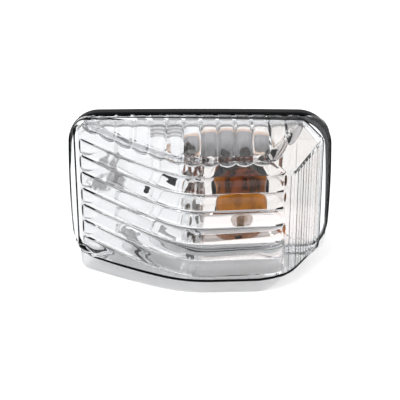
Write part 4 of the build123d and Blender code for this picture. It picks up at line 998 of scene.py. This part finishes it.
def amber_finish(colours):
    """Amber lacquered glass, streaked, with painted shade darkening it at its base and top, thin at its foot,
    with a dark spot below.
    """
    finish = Finish("amber_glass", colours.amber, 0.0, IOR=1.12, Transmission_Weight=0.5)
    streaks = finish.noise(5 * MM, 3.0, (1, 0.4, 1))
    blotch = finish.ramp(finish.noise(4.5 * MM, 3.0), 0.4, 0.62)
    light = finish.blend(blotch, colours.amber, shade(colours.amber, 0.62))
    # Painted shade: darker amber towards the bulb's base and its top
    painted_shade_amber = finish.blend(blotch, shade(colours.amber_base, 1.9), shade(colours.amber_base, 0.25))
    base = finish.along("Y", *AMBER_BACK).at_least(finish.along("Z", *AMBER_TOP))
    foot = finish.along("Z", *AMBER_FOOT)
    body = finish.blend(foot, finish.blend(base, light, painted_shade_amber), colours.amber_foot)
    globe = BULB_LOW.y + (BULB_HIGH.x - BULB_LOW.x) / 2
    across = finish.axis("X") - (BULB_LOW.x + BULB_HIGH.x) / 2
    spot = finish.ramp(finish.distance(across, finish.axis("Y") - globe), *SPOT_EDGE)
    spot = spot * finish.along("Z", *AMBER_UNDER)
    finish.set(Base_Color=finish.blend(spot, body, colours.rubber))
    finish.set(Alpha=(1 - FOOT_CLEAR * foot).at_least(spot))
    finish.set(Roughness=0.01 + 0.03 * streaks)
    return finish


def all_finishes(colours, sizes):
    """Every finish of the lamp, by the name of its slot."""
    finishes = [
        clear_lens_finish(colours, sizes), black_plastic_finish(colours, sizes), reflector_finish(colours),
        amber_finish(colours), holder_finish(colours), felt_finish(),
        rubber_finish("black_rubber", colours.rubber, 0.5 * MM),
        rubber_finish("vent_rubber", (0.022, 0.022, 0.023), 0.7 * MM),
        rubber_finish("seal_rubber", (0.11, 0.03, 0.022), 0.6 * MM),
        metal_finish("plated_steel", colours.zinc, 0.34),
        metal_finish("sleeve_metal", (0.68, 0.66, 0.6), 0.3, (1, 0.15, 1)),
        metal_finish("terminal_brass", colours.brass, 0.28, (1, 0.2, 1)),
        metal_finish("base_metal", (0.72, 0.68, 0.58), 0.25, (1, 4, 1)),
        metal_finish("solder", (0.58, 0.58, 0.59), 0.42),
        metal_finish("lead_wire", (0.5, 0.48, 0.45), 0.35),
        metal_finish("tungsten", (0.22, 0.22, 0.23), 0.45),
        skin_finish("sealant", (0.035, 0.035, 0.037), 0.4, (1.6 * MM, 3.0), (0.3, 0.25), (0.15 * MM, 0.6)),
        skin_finish(
            "black_glass", (0.012, 0.012, 0.014), 0.15, (1.5 * MM, 2.0), (0.08, 0.2), (0.1 * MM, 0.5),
            IOR=1.55,
        ),
        skin_finish(
            "stem_glass", (0.96, 0.97, 0.96), 0.0, (2 * MM, 2.0), (0.02, 0.05), (0.05 * MM, 0.4),
            IOR=1.52, Transmission_Weight=1.0,
        ),
    ]
    return {finish.slot: finish.material for finish in finishes}


def add_piece(name, mesh, sharp_degrees, body, node, slot):
    """Adds a new piece that rides on a body, stands for a node and wears a slot's finish."""
    piece = make_piece(name, radians(sharp_degrees), *mesh)
    piece.data.materials.append(bpy.data.materials[slot + FINISH_END])
    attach(piece, body)
    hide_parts(node)
    return piece


class LAMP_OT_finishes(bpy.types.Operator):
    """Gives every carried-over part its finish"""

    bl_idname = "lamp.finishes"
    bl_label = "Finishes"

    def execute(self, context):
        finishes = all_finishes(context.scene.lamp_colours, context.scene.lamp_lens)
        for part in frame["nodes"].values():
            slot = part.data.materials[0].name.split(".")[0]
            part.data.materials[0] = finishes[slot]
        return {"FINISHED"}


class LAMP_OT_lens(bpy.types.Operator):
    """Makes the clear lens with its flutes, fingers, ribs and lip"""

    bl_idname = "lamp.lens"
    bl_label = "Lens"

    def execute(self, context):
        mesh = lens_mesh(context.scene.lamp_lens, context.scene.lamp_optics)
        add_piece("fluted_lens", mesh, 50, LAMP_BODY, "lens", "clear_lens")
        return {"FINISHED"}


class LAMP_OT_studs(bpy.types.Operator):
    """Makes the two threaded studs"""

    bl_idname = "lamp.studs"
    bl_label = "Studs"

    def execute(self, context):
        studs = [stud_mesh(context.scene.lamp_threads, side * STUD_X) for side in (-1, 1)]
        points = np.concatenate([stud[0] for stud in studs])
        faces = np.concatenate([studs[0][1], studs[1][1] + len(studs[0][0])])
        add_piece("threaded_studs", (points, faces), 40, LAMP_BODY, "mounting_studs", "plated_steel")
        return {"FINISHED"}


class LAMP_OT_coil(bpy.types.Operator):
    """Makes the bulb's coiled filament"""

    bl_idname = "lamp.coil"
    bl_label = "Filament"

    def execute(self, context):
        mesh = coil_mesh(context.scene.lamp_threads)
        add_piece("filament_coil", mesh, 60, HOLDER_BODY, "bulb_filament", "tungsten")
        return {"FINISHED"}


class LAMP_OT_stage(bpy.types.Operator):
    """Sets the floor, the light and the camera"""

    bl_idname = "lamp.stage"
    bl_label = "Studio"

    def execute(self, context):
        scene = context.scene
        make_floor(scene.lamp_stage, scene.lamp_colours)
        make_world(scene.lamp_stage)
        make_lamps()
        make_camera(scene.lamp_stage)
        scene.view_settings.view_transform = "Standard"
        return {"FINISHED"}


def make_floor(stage, colours):
    """A wide pale floor that keeps the lamp's shadow and looks white to the camera, to metal and to glass."""
    bpy.ops.mesh.primitive_plane_add(size=FLOOR_SIZE, location=(0, 0, CAD_BOX[0].z - stage.floor_gap))
    floor = bpy.context.object
    floor.name = "studio_floor"
    material = bpy.data.materials.new("studio_floor")
    material.use_nodes = True
    shader = Shader(material.node_tree, "Principled BSDF")
    mirrored = shader.blend(shader.mirrored(), colours.floor, shade(colours.floor, stage.floor_mirrored))
    shader.set(Base_Color=mirrored, Roughness=0.9, Emission_Color=WHITE)
    shader.set(Emission_Strength=stage.floor_glow * shader.seen(0.0, stage.floor_through))
    floor.data.materials.append(material)


def make_world(stage):
    """White surroundings that fall to grey behind the camera, and an even light on matt surfaces."""
    world = bpy.data.worlds.new("studio_world")
    world.use_nodes = True
    bpy.context.scene.world = world
    shader = Shader(world.node_tree, "Background")
    direction = shader.node("TexCoord", {}, {}, "Generated")
    forward = shader.node("SeparateXYZ", {}, {"Vector": direction}, "Y")
    behind = shader.ramp(0.0 - forward, stage.dusk_start, stage.dusk_end)
    room = 1.0 - stage.dusk * behind
    shader.set(Color=WHITE, Strength=stage.ambient + shader.seen() * (room - stage.ambient))


def make_lamps():
    """Two large soft boxes, a key from the upper left and a fill from the right."""
    for name, place, size, power in SOFTBOXES:
        light = bpy.data.lights.new(name, "AREA")
        light.size = size
        light.energy = power
        softbox = bpy.data.objects.new(name, light)
        softbox.location = place
        softbox.rotation_mode = "QUATERNION"
        softbox.rotation_quaternion = (-Vector(place)).to_track_quat("-Z", "Y")
        bpy.context.scene.collection.objects.link(softbox)


def make_camera(stage):
    """The camera, level with the photograph's view: in front of the lens and above it."""
    camera = bpy.data.objects.new("studio_camera", bpy.data.cameras.new("studio_camera"))
    camera.data.lens = stage.focal_length
    aim = Vector((0, 0, stage.aim_height))
    back = Vector((0, -cos(stage.elevation), sin(stage.elevation)))
    camera.location = aim + back * stage.distance
    camera.rotation_mode = "QUATERNION"
    camera.rotation_quaternion = (-back).to_track_quat("-Z", "Y")
    camera.data.clip_start, camera.data.clip_end = CAMERA_CLIP
    bpy.context.scene.collection.objects.link(camera)
    bpy.context.scene.camera = camera


class LAMP_PT_panel(bpy.types.Panel):
    """Lists the lamp's steps and sizes"""

    bl_idname = "LAMP_PT_panel"
    bl_label = "Side Repeater Lamp"
    bl_space_type = "VIEW_3D"
    bl_region_type = "UI"
    bl_category = "Lamp"

    def draw(self, context):
        column = self.layout.column(align=True)
        for step in STEPS:
            column.operator(step.bl_idname)
        for name, group in GROUPS.items():
            box = self.layout.box()
            box.label(text=group.__doc__)
            for prop in group.__annotations__:
                box.prop(getattr(context.scene, name), prop)


GROUPS = {
    "lamp_lens": LensSizes,
    "lamp_optics": OpticSizes,
    "lamp_threads": ThreadSizes,
    "lamp_colours": FinishColours,
    "lamp_stage": StageSizes,
}
STEPS = (LAMP_OT_finishes, LAMP_OT_lens, LAMP_OT_studs, LAMP_OT_coil, LAMP_OT_stage)


def register():
    """Registers the groups of sizes, the operators and the panel."""
    for name, group in GROUPS.items():
        bpy.utils.register_class(group)
        setattr(bpy.types.Scene, name, bpy.props.PointerProperty(type=group))
    for step in (*STEPS, LAMP_PT_panel):
        bpy.utils.register_class(step)


def unregister():
    """Takes away what register added."""
    for step in reversed((*STEPS, LAMP_PT_panel)):
        bpy.utils.unregister_class(step)
    for name, group in GROUPS.items():
        delattr(bpy.types.Scene, name)
        bpy.utils.unregister_class(group)


def main():
    """Dresses the lamp step by step."""
    register()
    bpy.ops.lamp.finishes()
    bpy.ops.lamp.lens()
    bpy.ops.lamp.studs()
    bpy.ops.lamp.coil()
    bpy.ops.lamp.stage()


if __name__ == "__main__":
    main()
